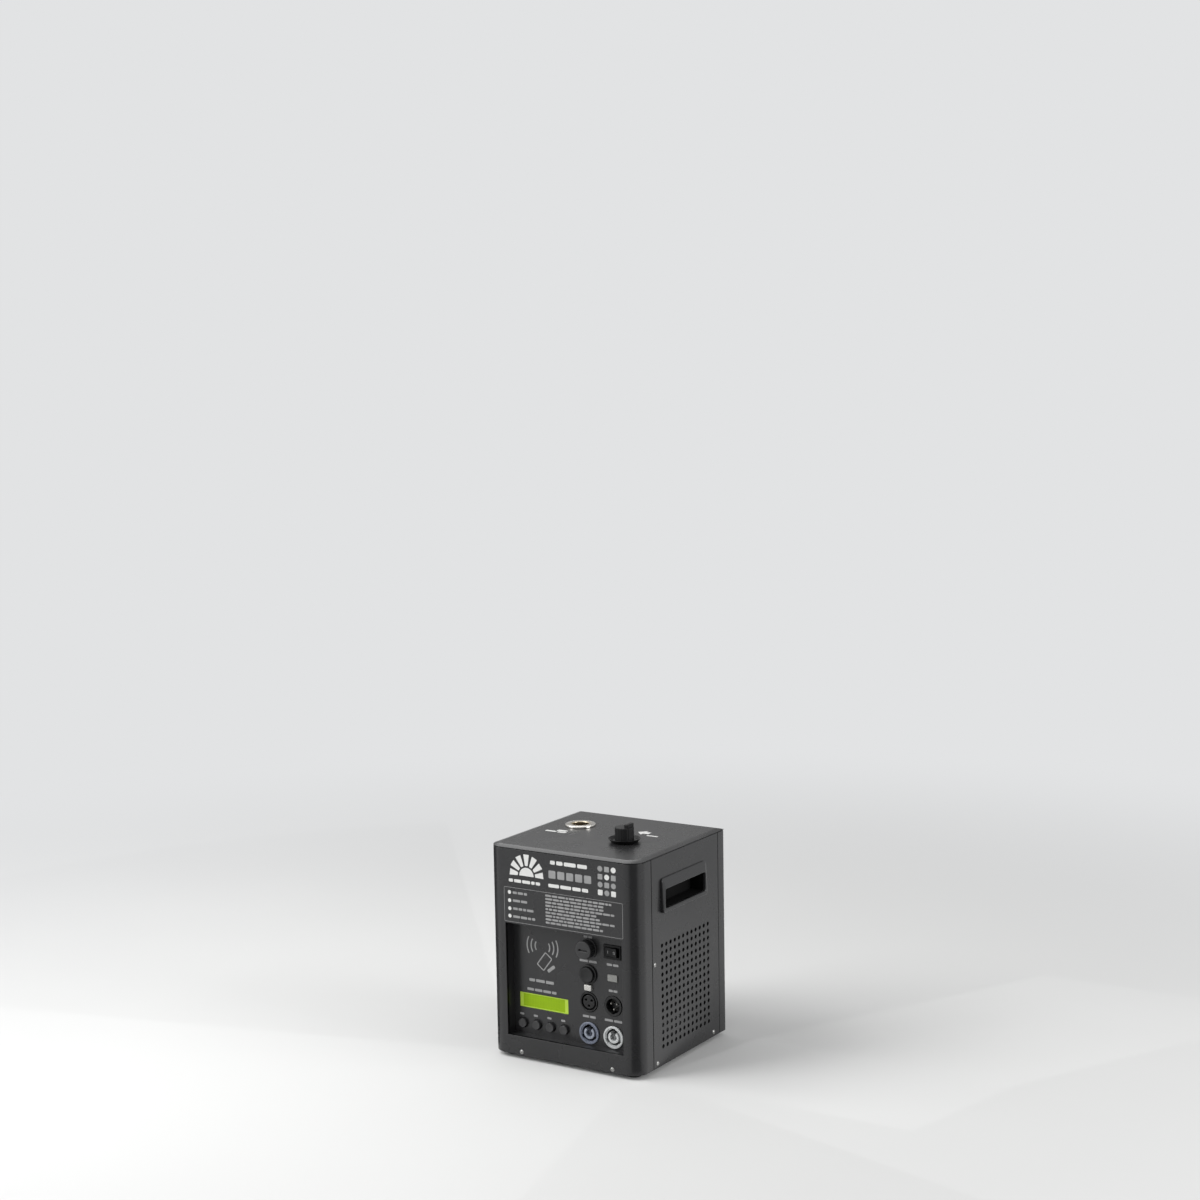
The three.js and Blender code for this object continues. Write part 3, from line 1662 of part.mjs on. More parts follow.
// Power supply on the pan, with its feet and terminal block
const supplyLow = panTop + seatGap;
const supplyX = motorLow + blowerMotorLength + supplyMotorSpace;
const supplyHighX = innerSideX - supplySideSpace;
const supplyY = panelRearY + powerBarrel + supplySocketSpace + supplyFoot;
const supply = joined([
  block(
    [supplyX, supplyY, supplyLow],
    [supplyHighX, supplyY + supplyDepth, supplyLow + supplyHeight],
  ),
  block(
    [supplyX, supplyY - supplyFoot, supplyLow],
    [supplyHighX, supplyY + supplyDepth + supplyFoot, supplyLow + sheet],
  ),
  block(
    [supplyX + supplyFoot, supplyY - supplyFoot, supplyLow],
    [supplyHighX - supplyFoot, supplyY, supplyLow + supplyTerminal],
  ),
]);
machine.add(piece("power_supply", supply, steelSheet));

// Control board: hung on four posts under the shelf, with a heat sink, a transformer and a relay
function controlBoard() {
  const postTop = deckUnder - seatGap;
  const face = postTop - boardDrop;
  const boardY = panelRearY + fuseSleeve + boardFuseSpace;
  const parts = [
    block(
      [boardX, boardY, face - boardThickness],
      [boardX + boardWidth, boardY + boardDepth, face],
    ),
  ];
  const near = boardInset + boardPost / 2;
  for (const x of [boardX + near, boardX + boardWidth - near]) {
    for (const y of [boardY + near, boardY + boardDepth - near]) {
      parts.push(slab(x, y, boardPost, boardPost, face - boardThickness / 2, postTop));
    }
  }
  const under = face - boardThickness;
  const third = boardWidth / 3;
  parts.push(
    slab(boardX + third, boardY + near + boardPost, third, boardPost, under - heatSinkHeight, under),
    slab(boardX + third, boardY + boardDepth / 2, third / 2, third / 2, under - heatSinkHeight, under),
    slab(boardX + 2 * third, boardY + boardDepth / 2, third / 2, third, under - boardDrop, under),
  );
  return joined(parts);
}
machine.add(piece("control_board", controlBoard(), boardGreen));

export default machine;
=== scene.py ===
import json
import math

import bmesh
import bpy
import numpy as np
from mathutils import Matrix, Vector, geometry


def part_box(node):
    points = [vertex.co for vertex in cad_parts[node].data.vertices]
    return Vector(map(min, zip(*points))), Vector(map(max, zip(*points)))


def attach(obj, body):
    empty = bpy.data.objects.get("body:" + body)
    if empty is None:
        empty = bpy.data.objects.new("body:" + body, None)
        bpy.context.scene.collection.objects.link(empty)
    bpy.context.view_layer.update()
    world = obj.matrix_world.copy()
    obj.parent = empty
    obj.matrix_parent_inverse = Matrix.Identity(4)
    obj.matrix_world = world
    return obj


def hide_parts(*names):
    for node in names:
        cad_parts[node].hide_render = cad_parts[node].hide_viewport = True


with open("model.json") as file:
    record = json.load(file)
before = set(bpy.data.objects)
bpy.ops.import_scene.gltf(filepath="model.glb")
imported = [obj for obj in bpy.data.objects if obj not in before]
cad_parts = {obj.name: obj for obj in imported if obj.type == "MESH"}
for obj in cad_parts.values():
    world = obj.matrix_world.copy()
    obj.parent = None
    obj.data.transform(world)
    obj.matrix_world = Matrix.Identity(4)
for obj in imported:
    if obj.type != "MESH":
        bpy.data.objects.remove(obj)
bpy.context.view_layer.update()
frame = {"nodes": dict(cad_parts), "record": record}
nodes = frame["nodes"]
slot_of = {part["node"]: part["material_slot"] for part in frame["record"]["subparts"]}


# Base pan: the tray that carries everything, zinc-plated steel sheet folded up at its rim.
# Four moulded rubber feet are held under it by one screw each.
FOOT_EDGE = 0.0007
FOOT_BORE = 0.0028
FOOT_SINK = 0.0018
SINK_RADIUS = FOOT_BORE * 1.9
TREAD_SHARE, BULGE_SHARE = 0.86, 0.35
ZINC = (150, 152, 153)
RUBBER = (24, 24, 25)
NOISE_LOW, NOISE_HIGH = 0.3, 0.7
WELD = 2e-6


def colour(tone, shade=1.0):
    """A screen colour of 0 to 255 as the linear light that a shader takes, times a share."""
    level = np.array(tone, float) / 255
    linear = np.where(level > 0.04045, ((level + 0.055) / 1.055) ** 2.4, level / 12.92)
    return (*np.clip(linear * shade, 0, 1), 1.0)


def added(tree, kind, values=()):
    """A new shader node, with (socket, value) pairs set on it."""
    node = tree.nodes.new(kind)
    for socket, value in values:
        node.inputs[socket].default_value = value
    return node


def tone_ramp(tree, start, end, start_colour, end_colour):
    """A ramp from one colour to another between two positions."""
    ramp = tree.nodes.new("ShaderNodeValToRGB")
    first, last = ramp.color_ramp.elements
    first.position, last.position = start, end
    first.color, last.color = start_colour, end_colour
    return ramp


def wire(tree, *links):
    """Links from outputs to sockets."""
    for output, socket in links:
        tree.links.new(output, socket)


def grained(name, tone, contrast, patch_size, grain, relief, rough, metallic=0.0, specular=0.5, glow=0.0):
    """A finish whose tone and roughness drift over patches, with a fine raised grain."""
    material = bpy.data.materials.new(name)
    material.use_nodes = True
    tree = material.node_tree
    shader = tree.nodes["Principled BSDF"]
    shader.inputs["Metallic"].default_value = metallic
    shader.inputs["Specular IOR Level"].default_value = specular
    place = tree.nodes.new("ShaderNodeTexCoord").outputs["Object"]
    broad = added(tree, "ShaderNodeTexNoise", [("Scale", 1 / patch_size), ("Detail", 5)])
    fine = added(tree, "ShaderNodeTexNoise", [("Scale", 1 / grain), ("Detail", 2)])
    ramp = tone_ramp(tree, NOISE_LOW, NOISE_HIGH, colour(tone, 1 - contrast), colour(tone, 1 + contrast))
    span = [("From Min", NOISE_LOW), ("From Max", NOISE_HIGH), ("To Min", rough[0]), ("To Max", rough[1])]
    worn = added(tree, "ShaderNodeMapRange", span)
    bump = added(tree, "ShaderNodeBump", [("Distance", relief)])
    wire(
        tree,
        (place, broad.inputs["Vector"]),
        (place, fine.inputs["Vector"]),
        (broad.outputs["Fac"], ramp.inputs["Fac"]),
        (broad.outputs["Fac"], worn.inputs["Value"]),
        (fine.outputs["Fac"], bump.inputs["Height"]),
        (ramp.outputs["Color"], shader.inputs["Base Color"]),
        (worn.outputs["Result"], shader.inputs["Roughness"]),
        (bump.outputs["Normal"], shader.inputs["Normal"]),
    )
    if glow:
        shader.inputs["Emission Color"].default_value = colour(tone)
        shader.inputs["Emission Strength"].default_value = glow
    return material


def patch(points, around=False):
    """Quads between neighbouring rows and columns of a grid of points; the columns may close in a ring."""
    rows, columns = points.shape[:2]
    index = np.arange(rows * columns).reshape(rows, columns)
    if around:
        index = np.concatenate([index, index[:, :1]], 1)
    quads = np.stack([index[:-1, :-1], index[:-1, 1:], index[1:, 1:], index[1:, :-1]], -1)
    return points.reshape(-1, 3), quads.reshape(-1, 4)


def eased(corners, radius, steps=5, closed=True):
    """Round corners: each corner C gives way to C + r((1-t)^2 b + t^2 a), with b and a the directions to
    the corners before and after it. An open line keeps its two ends."""
    corners = np.array(corners, float)
    radius = np.broadcast_to(np.asarray(radius, float), len(corners)).copy()
    if not closed:
        radius[[0, -1]] = 0
    before = np.roll(corners, 1, 0) - corners
    after = np.roll(corners, -1, 0) - corners
    before /= np.maximum(np.linalg.norm(before, axis=1, keepdims=True), 1e-12)
    after /= np.maximum(np.linalg.norm(after, axis=1, keepdims=True), 1e-12)
    t = np.linspace(0, 1, steps + 1)[None, :, None]
    reach = (1 - t) ** 2 * before[:, None] + t**2 * after[:, None]
    points = (corners[:, None] + radius[:, None, None] * reach).reshape(-1, 2)
    step = np.linalg.norm(points - np.roll(points, 1, 0), axis=1)
    return points[step > 1e-7]


def turned(profile, steps=72):
    """A turned part: every (radius, height) of the profile carried round the axis in equal steps."""
    angle = np.arange(steps) * (2 * np.pi / steps)
    radius, height = np.array(profile, float).T
    around = radius[:, None, None] * np.stack([np.cos(angle), np.sin(angle)], -1)
    level = np.broadcast_to(height[:, None, None], (len(height), steps, 1))
    return patch(np.concatenate([around, level], -1), around=True)


def spun(corners, steps=72):
    """A turned part from (radius, height, easing) corners, each rounded by its own easing."""
    corners = np.array(corners, float)
    return turned(eased(corners[:, :2], corners[:, 2], closed=False), steps)


UPRIGHT = ((1, 0, 0), (0, 1, 0), (0, 0, 1))


def dress(name, patches, finish, body="case", node=None, slot=None, origin=(0, 0, 0), axes=UPRIGHT, edge=32):
    """One piece from patches of local points: welded, faced outwards, carried to the machine as
    origin + x·first axis + y·second + z·third, given its finish, and set to ride on its body."""
    points, faces, start = [], [], 0
    for patch_points, patch_faces in patches:
        points.append(patch_points)
        faces.extend((np.asarray(patch_faces) + start).tolist())
        start += len(patch_points)
    placed = np.concatenate(points) @ np.array(axes, float) + np.array(origin, float)
    mesh = bpy.data.meshes.new(name)
    mesh.from_pydata(placed.tolist(), [], faces)
    welded = bmesh.new()
    welded.from_mesh(mesh)
    bmesh.ops.remove_doubles(welded, verts=welded.verts, dist=WELD)
    bmesh.ops.dissolve_degenerate(welded, edges=welded.edges, dist=WELD / 20)
    bmesh.ops.recalc_face_normals(welded, faces=welded.faces)
    welded.to_mesh(mesh)
    welded.free()
    mesh.shade_smooth()
    mesh.set_sharp_from_angle(angle=math.radians(edge))
    mesh.materials.append(finish)
    piece = bpy.data.objects.new(name, mesh)
    bpy.context.scene.collection.objects.link(piece)
    weighted = piece.modifiers.new("face_weights", "WEIGHTED_NORMAL")
    weighted.keep_sharp = True
    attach(piece, body)
    if node:
        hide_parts(node)


def centre_of(node):
    """The middle of a frame node's box."""
    low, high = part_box(node)
    return (np.array(low) + np.array(high)) / 2


def refinish(node, finish):
    """A frame node kept as it is, with its own finish."""
    nodes[node].data.materials.clear()
    nodes[node].data.materials.append(finish)


zinc = grained("zinc_plate", ZINC, 0.12, 0.012, 0.0004, 0.00002, (0.28, 0.45), metallic=1.0)
rubber = grained("foot_rubber", RUBBER, 0.15, 0.006, 0.0005, 0.00004, (0.75, 0.95))
refinish("base_pan", zinc)
for node in ("foot_front_left", "foot_front_right", "foot_rear_left", "foot_rear_right"):
    low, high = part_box(node)
    x, y, _ = centre_of(node)
    radius = (high.x - low.x) / 2
    foot = spun(
        [
            (FOOT_BORE, high.z, 0),
            (FOOT_BORE, FOOT_SINK, 0),
            (SINK_RADIUS, FOOT_SINK, 0.0002),
            (SINK_RADIUS, 0, 0.0003),
            (radius * TREAD_SHARE, 0, FOOT_EDGE),
            (radius, high.z * BULGE_SHARE, FOOT_EDGE),
            (radius, high.z, FOOT_EDGE / 2),
            (FOOT_BORE, high.z, 0),
        ]
    )
    dress(node + "_pad", [foot], rubber, node=node, slot="black_rubber", origin=(x, y, 0))


# Front sheet: one steel plate bent round both front corners, with the window of the control recess
# punched out, powder-coated charcoal grey.
SHEET = 0.0015
CORNER = 0.018
CORNER_STEPS = 20
COAT = (38, 38, 39)
SPECK_SIZE, SPECK_SHARE = 0.00025, 0.22
MIX_FIRST, MIX_SECOND, MIXED = 6, 7, 2
EDGE_BREAK = 0.00035
SEAM_RISE = 0.0012
front_low, front_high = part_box("front_shell")
case_x = front_high.x
front_y = front_low.y
return_y = front_high.y
case_low = front_low.z
wall_high = front_high.z + SEAM_RISE
WINDOW = (-0.077, 0.079, case_low + 0.022, case_low + 0.154)


def powder_coat(name, tone):
    """Satin powder coating: an orange-peel skin in grains of about a millimetre, over a slow drift of tone,
    with fine specks laid over the tone."""
    coat = grained(name, tone, 0.07, 0.05, 0.0009, 0.00002, (0.24, 0.31), specular=0.4)
    tree = coat.node_tree
    speck = added(tree, "ShaderNodeTexNoise", [("Scale", 1 / SPECK_SIZE)])
    mix = tree.nodes.new("ShaderNodeMix")
    mix.data_type = "RGBA"
    mix.blend_type = "OVERLAY"
    mix.inputs["Factor"].default_value = SPECK_SHARE
    wire(
        tree,
        (tree.nodes["Texture Coordinate"].outputs["Object"], speck.inputs["Vector"]),
        (tree.nodes["Color Ramp"].outputs["Color"], mix.inputs[MIX_FIRST]),
        (speck.outputs["Color"], mix.inputs[MIX_SECOND]),
        (mix.outputs[MIXED], tree.nodes["Principled BSDF"].inputs["Base Color"]),
    )
    return coat


def folded(path, levels, opening=None):
    """A bent sheet's outer skin: the plan path carried up through the levels. Cells whose middle lies in
    the opening (low x, high x, low z, high z) on the front are left out."""
    path = np.array(path, float)
    levels = np.array(levels, float)
    plan = np.broadcast_to(path[None], (len(levels), *path.shape))
    height = np.broadcast_to(levels[:, None, None], (len(levels), len(path), 1))
    flat, quads = patch(np.concatenate([plan, height], -1))
    if opening:
        middle = flat[quads].mean(1)
        x0, x1, z0, z1 = opening
        inside = (middle[:, 0] > x0) & (middle[:, 0] < x1) & (middle[:, 2] > z0) & (middle[:, 2] < z1)
        quads = quads[~inside]
    return flat, quads


def sheet_piece(name, skin, node):
    """An open skin with its outer side kept, made a coated plate by Solidify, its edges broken by Bevel."""
    mesh = bpy.data.meshes.new(name)
    mesh.from_pydata(skin[0].tolist(), [], skin[1].tolist())
    mesh.shade_smooth()
    mesh.materials.append(coated)
    piece = bpy.data.objects.new(name, mesh)
    bpy.context.scene.collection.objects.link(piece)
    wall = piece.modifiers.new("wall", "SOLIDIFY")
    wall.thickness = SHEET
    wall.offset = -1
    wall.use_even_offset = True
    broken = piece.modifiers.new("broken_edges", "BEVEL")
    broken.width = EDGE_BREAK
    broken.segments = 2
    broken.limit_method = "ANGLE"
    broken.angle_limit = math.radians(40)
    broken.harden_normals = True
    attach(piece, "case")
    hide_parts(node)


coated = powder_coat("charcoal_powder_coat", COAT)
quarter = np.linspace(0, np.pi / 2, CORNER_STEPS + 1)
corner_x = case_x - CORNER
corner_y = front_y + CORNER
left_bend = np.stack([-corner_x - CORNER * np.cos(quarter), corner_y - CORNER * np.sin(quarter)], -1)
right_bend = left_bend[::-1] * [-1, 1]
window_line = [(WINDOW[0], front_y), (0, front_y), (WINDOW[1], front_y)]
front_path = np.concatenate([[(-case_x, return_y)], left_bend, window_line, right_bend, [(case_x, return_y)]])
front_skin = folded(front_path, [case_low, WINDOW[2], WINDOW[3], wall_high], WINDOW)
sheet_piece("front_sheet", front_skin, "front_shell")


# Case screws: small pan-head screws with a cross recess, zinc-plated. Two hold the front sheet to the
# pan, the others the side and rear sheets.
SCREW_RADIUS = 0.0026
SCREW_HEAD = 0.0011
CROWN_LIFT, SKIRT = 0.0001, 0.0004
CROSS_WIDTH = 0.0007
CROSS_LENGTH = 0.0030
CROSS_DEPTH = 0.0007
RINGS, SPOKES = 17, 64
FIRST_TURN, TURN_STEP = 0.3, 0.7
FACING_FRONT = ((1, 0, 0), (0, 0, 1), (0, -1, 0))
FACING_RIGHT = ((0, 1, 0), (0, 0, 1), (1, 0, 0))
FACING_LEFT = ((0, -1, 0), (0, 0, 1), (-1, 0, 0))
FACING_REAR = ((-1, 0, 0), (0, 0, 1), (0, 1, 0))
FRONT_SCREWS = [(-0.0585, case_low + 0.0038), (0.0640, case_low + 0.0038)]


def screw_head(x, y, turn):
    """A dome h(1-(r/R)^4) on a polar grid, sunk by the cross depth where either arm of the cross passes."""
    share = np.linspace(0, 1, RINGS)
    angle = np.arange(SPOKES) * (2 * np.pi / SPOKES)
    r = np.broadcast_to((share * SCREW_RADIUS)[:, None], (RINGS, SPOKES))
    u, v = r * np.cos(angle), r * np.sin(angle)
    a, b = np.cos(turn) * u + np.sin(turn) * v, np.cos(turn) * v - np.sin(turn) * u
    arm = np.maximum(
        np.minimum(CROSS_WIDTH / 2 - np.abs(a), CROSS_LENGTH / 2 - np.abs(b)),
        np.minimum(CROSS_WIDTH / 2 - np.abs(b), CROSS_LENGTH / 2 - np.abs(a)),
    )
    sunk = np.clip(arm / (CROSS_WIDTH / 4), 0, 1) * CROSS_DEPTH
    height = SCREW_HEAD * (1 - share[:, None] ** 4) + CROWN_LIFT - sunk
    head = np.stack([x + u, y + v, height], -1)
    skirt = head[-1:] * [1, 1, 0] - [0, 0, SKIRT]
    foot = skirt * 0 + [x, y, -SKIRT]
    return patch(np.concatenate([head, skirt, foot]), around=True)


def screws(name, places, origin, axes):
    """A set of like screws on one face, each turned to its own angle."""
    heads = [screw_head(x, y, TURN_STEP * i + FIRST_TURN) for i, (x, y) in enumerate(places)]
    dress(name, heads, screw_zinc, slot="steel_sheet", origin=origin, axes=axes, edge=50)


screw_zinc = grained("screw_zinc", (168, 168, 166), 0.1, 0.004, 0.0003, 0.00001, (0.25, 0.4), metallic=1.0)
screws("front_screws", FRONT_SCREWS, (0, front_y, 0), FACING_FRONT)


# Front print: generic marks in light screen-printing ink, each a film a few hundredths of a millimetre
# thick. Heights in the tables count up from the case's lower edge, and the last number seeds the row.
INK = (206, 206, 204)
GREY_INK = (138, 138, 138)
FILM = 0.00006
GAP_SHARE, END_SHARE = 0.42, 0.3
SHORTEST_WORD, LONGEST_WORD = 1.2, 4.2
EMBLEM = np.array([-0.0465, case_low + 0.2115])
EMBLEM_RADIUS, RAY_FOOT, RAY_LENGTH, RAY_SWELL = 0.0098, 0.0118, 0.0225, 0.0025
RAY_COUNT, RAY_FOOT_HALF, RAY_TIP_HALF = 7, 0.0018, 0.0038
EMBLEM_ROW = (-0.0710, -0.022, 0.2045, 0.0036, 11)
HEADING_ROWS = [(-0.0140, 0.039, 0.2315, 0.0044, 3), (-0.0170, 0.0425, 0.2047, 0.0040, 5)]
TITLE_BLOCKS, TITLE_X, TITLE_PITCH, TITLE_RISE = 5, -0.0118, 0.0119, 0.2176
TITLE_WIDTH, TITLE_HEIGHT = 0.0094, 0.0090
BULLET_X, BULLET_RADIUS = -0.0705, 0.0022
BULLET_RISES = (0.1903, 0.1807, 0.1713, 0.1627)
TILE_COLUMNS, TILE_LINES, TILE_X, TILE_RISE = 3, 4, 0.0522, 0.2052
TILE_PITCH_X, TILE_PITCH_Z, TILE_WIDTH, TILE_RADIUS = 0.0087, 0.0090, 0.0062, 0.0032
BRIGHT_TILES = ((0, 0), (2, 0), (1, 2), (2, 3))
NOTE_ENDS = (-0.040, -0.036, -0.030, -0.029)
NOTE_X, NOTE_RISE, NOTE_STEP, NOTE_HEIGHT = -0.0660, 0.1903, 0.0093, 0.0028
TEXT_LINES, TEXT_X, TEXT_RISE, TEXT_STEP, TEXT_HEIGHT = 9, -0.0215, 0.1925, 0.0039, 0.0023
LONG_END, SHORT_END = 0.0735, 0.0560
BORDER_X, BORDER_RISE, BORDER_WIDTH, BORDER_HEIGHT = 0.0015, 0.1760, 0.159, 0.0405
BORDER_LINE = 0.0008


def offset(outline, inset):
    """The outline drawn in to its left by the inset, each point moved along its mitre."""
    ahead = np.roll(outline, -1, 0) - outline
    ahead /= np.linalg.norm(ahead, axis=1, keepdims=True)
    left = np.stack([-ahead[:, 1], ahead[:, 0]], -1)
    before = np.roll(left, 1, 0)
    mitre = (left + before) / np.maximum(1 + (left * before).sum(1), 0.2)[:, None]
    return outline + inset * mitre


def wound(outline, sense):
    """The outline, run anticlockwise for sense 1 and clockwise for -1."""
    x, y = outline.T
    area = (x * np.roll(y, -1) - y * np.roll(x, -1)).sum()
    return outline if area * sense > 0 else outline[::-1]


def flat_face(paths, height):
    """The flat between an outline and its holes: Delaunay triangles that keep every edge, less the ones
    from whose middle a straight line outwards crosses an even number of edges."""
    starts = np.concatenate(paths)
    ends = np.concatenate([np.roll(path, -1, 0) for path in paths])
    ring_starts = np.cumsum([0] + [len(path) for path in paths[:-1]])
    edges = [
        np.column_stack([first + np.arange(len(path)), first + np.roll(np.arange(len(path)), -1)])
        for first, path in zip(ring_starts, paths)
    ]
    spans = geometry.delaunay_2d_cdt([Vector(p) for p in starts], np.concatenate(edges).tolist(), [], 0, 1e-8)
    flat = np.array([(v.x, v.y) for v in spans[0]])
    faces = np.array(spans[2])
    x, y = flat[faces].mean(1).T[:, :, None]
    (x0, y0), (x1, y1) = starts.T, ends.T
    rise = np.where(np.abs(y1 - y0) < 1e-12, 1e-12, y1 - y0)
    crossed = ((y0 > y) != (y1 > y)) & (x < x0 + (x1 - x0) * (y - y0) / rise)
    kept = faces[crossed.sum(1) % 2 == 1]
    return np.column_stack([flat, np.full(len(flat), height)]), kept


def walled(path, profile):
    """A wall: the profile's (inset, height) pairs carried along a closed path."""
    rings = [np.column_stack([offset(path, inset), np.full(len(path), level)]) for inset, level in profile]
    return patch(np.stack(rings), around=True)


def pressed(outline, holes, profile):
    """A plate: the profile's (inset, height) pairs are carried along the outline and along every hole, and
    flat faces span the first ring and the last."""
    paths = [wound(outline, 1)] + [wound(hole, -1) for hole in holes]
    patches = [walled(path, profile) for path in paths]
    for inset, level in (profile[0], profile[-1]):
        patches.append(flat_face([offset(path, inset) for path in paths], level))
    return patches


def circle(radius, x=0.0, y=0.0, steps=48):
    """Equal steps round a circle."""
    angle = np.arange(steps) * (2 * np.pi / steps)
    return np.stack([x + radius * np.cos(angle), y + radius * np.sin(angle)], -1)


def rectangle(x, y, width, height, corner=0.0, steps=5):
    """A rectangle about its centre, with eased corners."""
    signs = np.array([(-1, -1), (1, -1), (1, 1), (-1, 1)], float)
    return eased(signs * [width / 2, height / 2] + [x, y], corner, steps)


def arc_band(x, y, radius, width, start, end, steps=24):
    """A band of one width along an arc, its ends square."""
    angle = np.linspace(start, end, steps)
    ray = np.stack([np.cos(angle), np.sin(angle)], -1)
    return np.concatenate([ray * (radius + width / 2), ray[::-1] * (radius - width / 2)]) + [x, y]


def words(x0, x1, y, height, seed):
    """A row of short dashes with gaps, of the lengths of words, from x0 to x1."""
    draw = np.random.default_rng(seed)
    lengths = draw.uniform(SHORTEST_WORD, LONGEST_WORD, 60) * height
    gaps = GAP_SHARE * height
    ends = x0 + np.cumsum(lengths + gaps)
    starts = ends - lengths - gaps
    kept = ends - gaps <= x1
    spans = zip(starts[kept], ends[kept] - gaps)
    return [rectangle((a + b) / 2, y, b - a, height, height * END_SHARE, 2) for a, b in spans]


def film(outlines, holes=()):
    """Flat ink: every outline as a thin plate, holes going to the first one."""
    patches = []
    for i, outline in enumerate(outlines):
        patches += pressed(outline, holes if i == 0 else (), [(0, -FILM), (0, FILM)])
    return patches


def front_row(start, end, rise, height, seed):
    """A row of words on the front, its middle at a rise above the case's lower edge."""
    return words(start, end, case_low + rise, height, seed)


ink = grained("white_ink", INK, 0.05, 0.01, 0.0005, 0.00001, (0.45, 0.6))
grey_ink = grained("grey_ink", GREY_INK, 0.06, 0.01, 0.0005, 0.00001, (0.45, 0.6))
emblem = [circle(EMBLEM_RADIUS, *EMBLEM)[:25]]
for turn in np.radians(np.linspace(8, 172, RAY_COUNT)):
    away, aside = np.array([math.cos(turn), math.sin(turn)]), np.array([-math.sin(turn), math.cos(turn)])
    foot, tip = RAY_FOOT * away, (RAY_LENGTH + RAY_SWELL * math.sin(turn)) * away
    near, far = RAY_FOOT_HALF * aside, RAY_TIP_HALF * aside
    emblem.append(eased(EMBLEM + [foot - near, tip - far, tip + far, foot + near], 0.0006, 3))
emblem += front_row(*EMBLEM_ROW)
headings = [dash for row in HEADING_ROWS for dash in front_row(*row)]
title = [
    rectangle(TITLE_X + i * TITLE_PITCH, case_low + TITLE_RISE, TITLE_WIDTH, TITLE_HEIGHT, 0.0014, 3)
    for i in range(TITLE_BLOCKS)
]
bullets = [circle(BULLET_RADIUS, BULLET_X, case_low + rise, 24) for rise in BULLET_RISES]
tiles, bright_tiles = [], []
for column in range(TILE_COLUMNS):
    for line in range(TILE_LINES):
        x = TILE_X + column * TILE_PITCH_X
        y = case_low + TILE_RISE + line * TILE_PITCH_Z
        tile = rectangle(x, y, TILE_WIDTH, TILE_WIDTH, 0.0010, 3)
        if (column + line) % 2:
            tile = circle(TILE_RADIUS, x, y, 24)
        (bright_tiles if (column, line) in BRIGHT_TILES else tiles).append(tile)
front_seat = dict(origin=(0, front_y, 0), axes=FACING_FRONT)
dress("front_marks", film(emblem + headings + bullets + bright_tiles), ink, **front_seat)
notes = []
for i, end in enumerate(NOTE_ENDS):
    notes += words(NOTE_X, end, case_low + NOTE_RISE - i * NOTE_STEP, NOTE_HEIGHT, 20 + i)
for i in range(TEXT_LINES):
    end = SHORT_END if i % 3 else LONG_END
    notes += words(TEXT_X, end, case_low + TEXT_RISE - i * TEXT_STEP, TEXT_HEIGHT, 40 + i)
border_place = (BORDER_X, case_low + BORDER_RISE)
border_outer = rectangle(*border_place, BORDER_WIDTH, BORDER_HEIGHT, 0.0015, 3)
border_inner = rectangle(*border_place, BORDER_WIDTH - BORDER_LINE, BORDER_HEIGHT - BORDER_LINE, 0.0011, 3)
front_lines = film([border_outer], [border_inner]) + film(title + tiles + notes)
dress("front_notes", front_lines, grey_ink, **front_seat)


# Control tray: a folded steel tray welded behind the window, with the holes of everything that it
# carries, coated with the rest of the case. Its face lies 15 mm behind the front.
TRAY_WALL, TRAY_FLANGE = 0.0015, 0.008
PANEL = 0.002
panel_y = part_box("control_panel")[1].y - PANEL
COLUMN_A, COLUMN_B = centre_of("fuse_cap")[0], centre_of("switch_body")[0]
UPPER_ROW, MIDDLE_ROW = centre_of("fuse_cap")[2], centre_of("start_button")[2]
SIGNAL_ROW, POWER_ROW = centre_of("signal_in_insert")[2], centre_of("power_in_core")[2]
display_low, display_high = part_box("lcd_glass")
display_place, latch_place = centre_of("lcd_glass")[[0, 2]], centre_of("signal_out_latch")[[0, 2]]
menu_places = [centre_of(f"menu_button_{i}")[[0, 2]] for i in range(1, 5)]
FIT = 0.0004
BUTTON_RADIUS = 0.0056
POWER_BODY, SIGNAL_RADIUS, START_TUBE, FUSE_TUBE = 0.0116, 0.0114, 0.0100, 0.0080
SWITCH_HOLE, LATCH_HOLE, DISPLAY_HOLE = (0.0210, 0.0138), (0.0106, 0.0076), (0.0664, 0.0174)
EDGE_EASE = 0.0002
panel_holes = [
    circle(POWER_BODY + FIT, COLUMN_A, POWER_ROW),
    circle(POWER_BODY + FIT, COLUMN_B, POWER_ROW),
    circle(SIGNAL_RADIUS + FIT, COLUMN_A, SIGNAL_ROW),
    circle(SIGNAL_RADIUS + FIT, COLUMN_B, SIGNAL_ROW),
    circle(START_TUBE + FIT, COLUMN_A, MIDDLE_ROW),
    circle(FUSE_TUBE + FIT, COLUMN_A, UPPER_ROW),
    rectangle(COLUMN_B, UPPER_ROW, *SWITCH_HOLE, 0.0004, 2),
    rectangle(*latch_place, *LATCH_HOLE, 0.0008, 3),
    rectangle(*display_place, *DISPLAY_HOLE, 0.0006, 3),
]
panel_holes += [circle(BUTTON_RADIUS + FIT, *place, 36) for place in menu_places]
window_width, window_height = WINDOW[1] - WINDOW[0], WINDOW[3] - WINDOW[2]
window_middle = ((WINDOW[0] + WINDOW[1]) / 2, (WINDOW[2] + WINDOW[3]) / 2)
tray_width = window_width + 2 * TRAY_WALL
tray_outline = rectangle(*window_middle, tray_width, window_height + 2 * TRAY_WALL, 0.0025)
tray_mouth = rectangle(*window_middle, window_width, window_height, 0.0010)
flange = rectangle(*window_middle, tray_width, window_height + 2 * TRAY_FLANGE, 0.0010)
rim = panel_y - front_y - SHEET - 0.0003
hole_edge = [(0, -PANEL), (0, -EDGE_EASE), (EDGE_EASE, 0)]


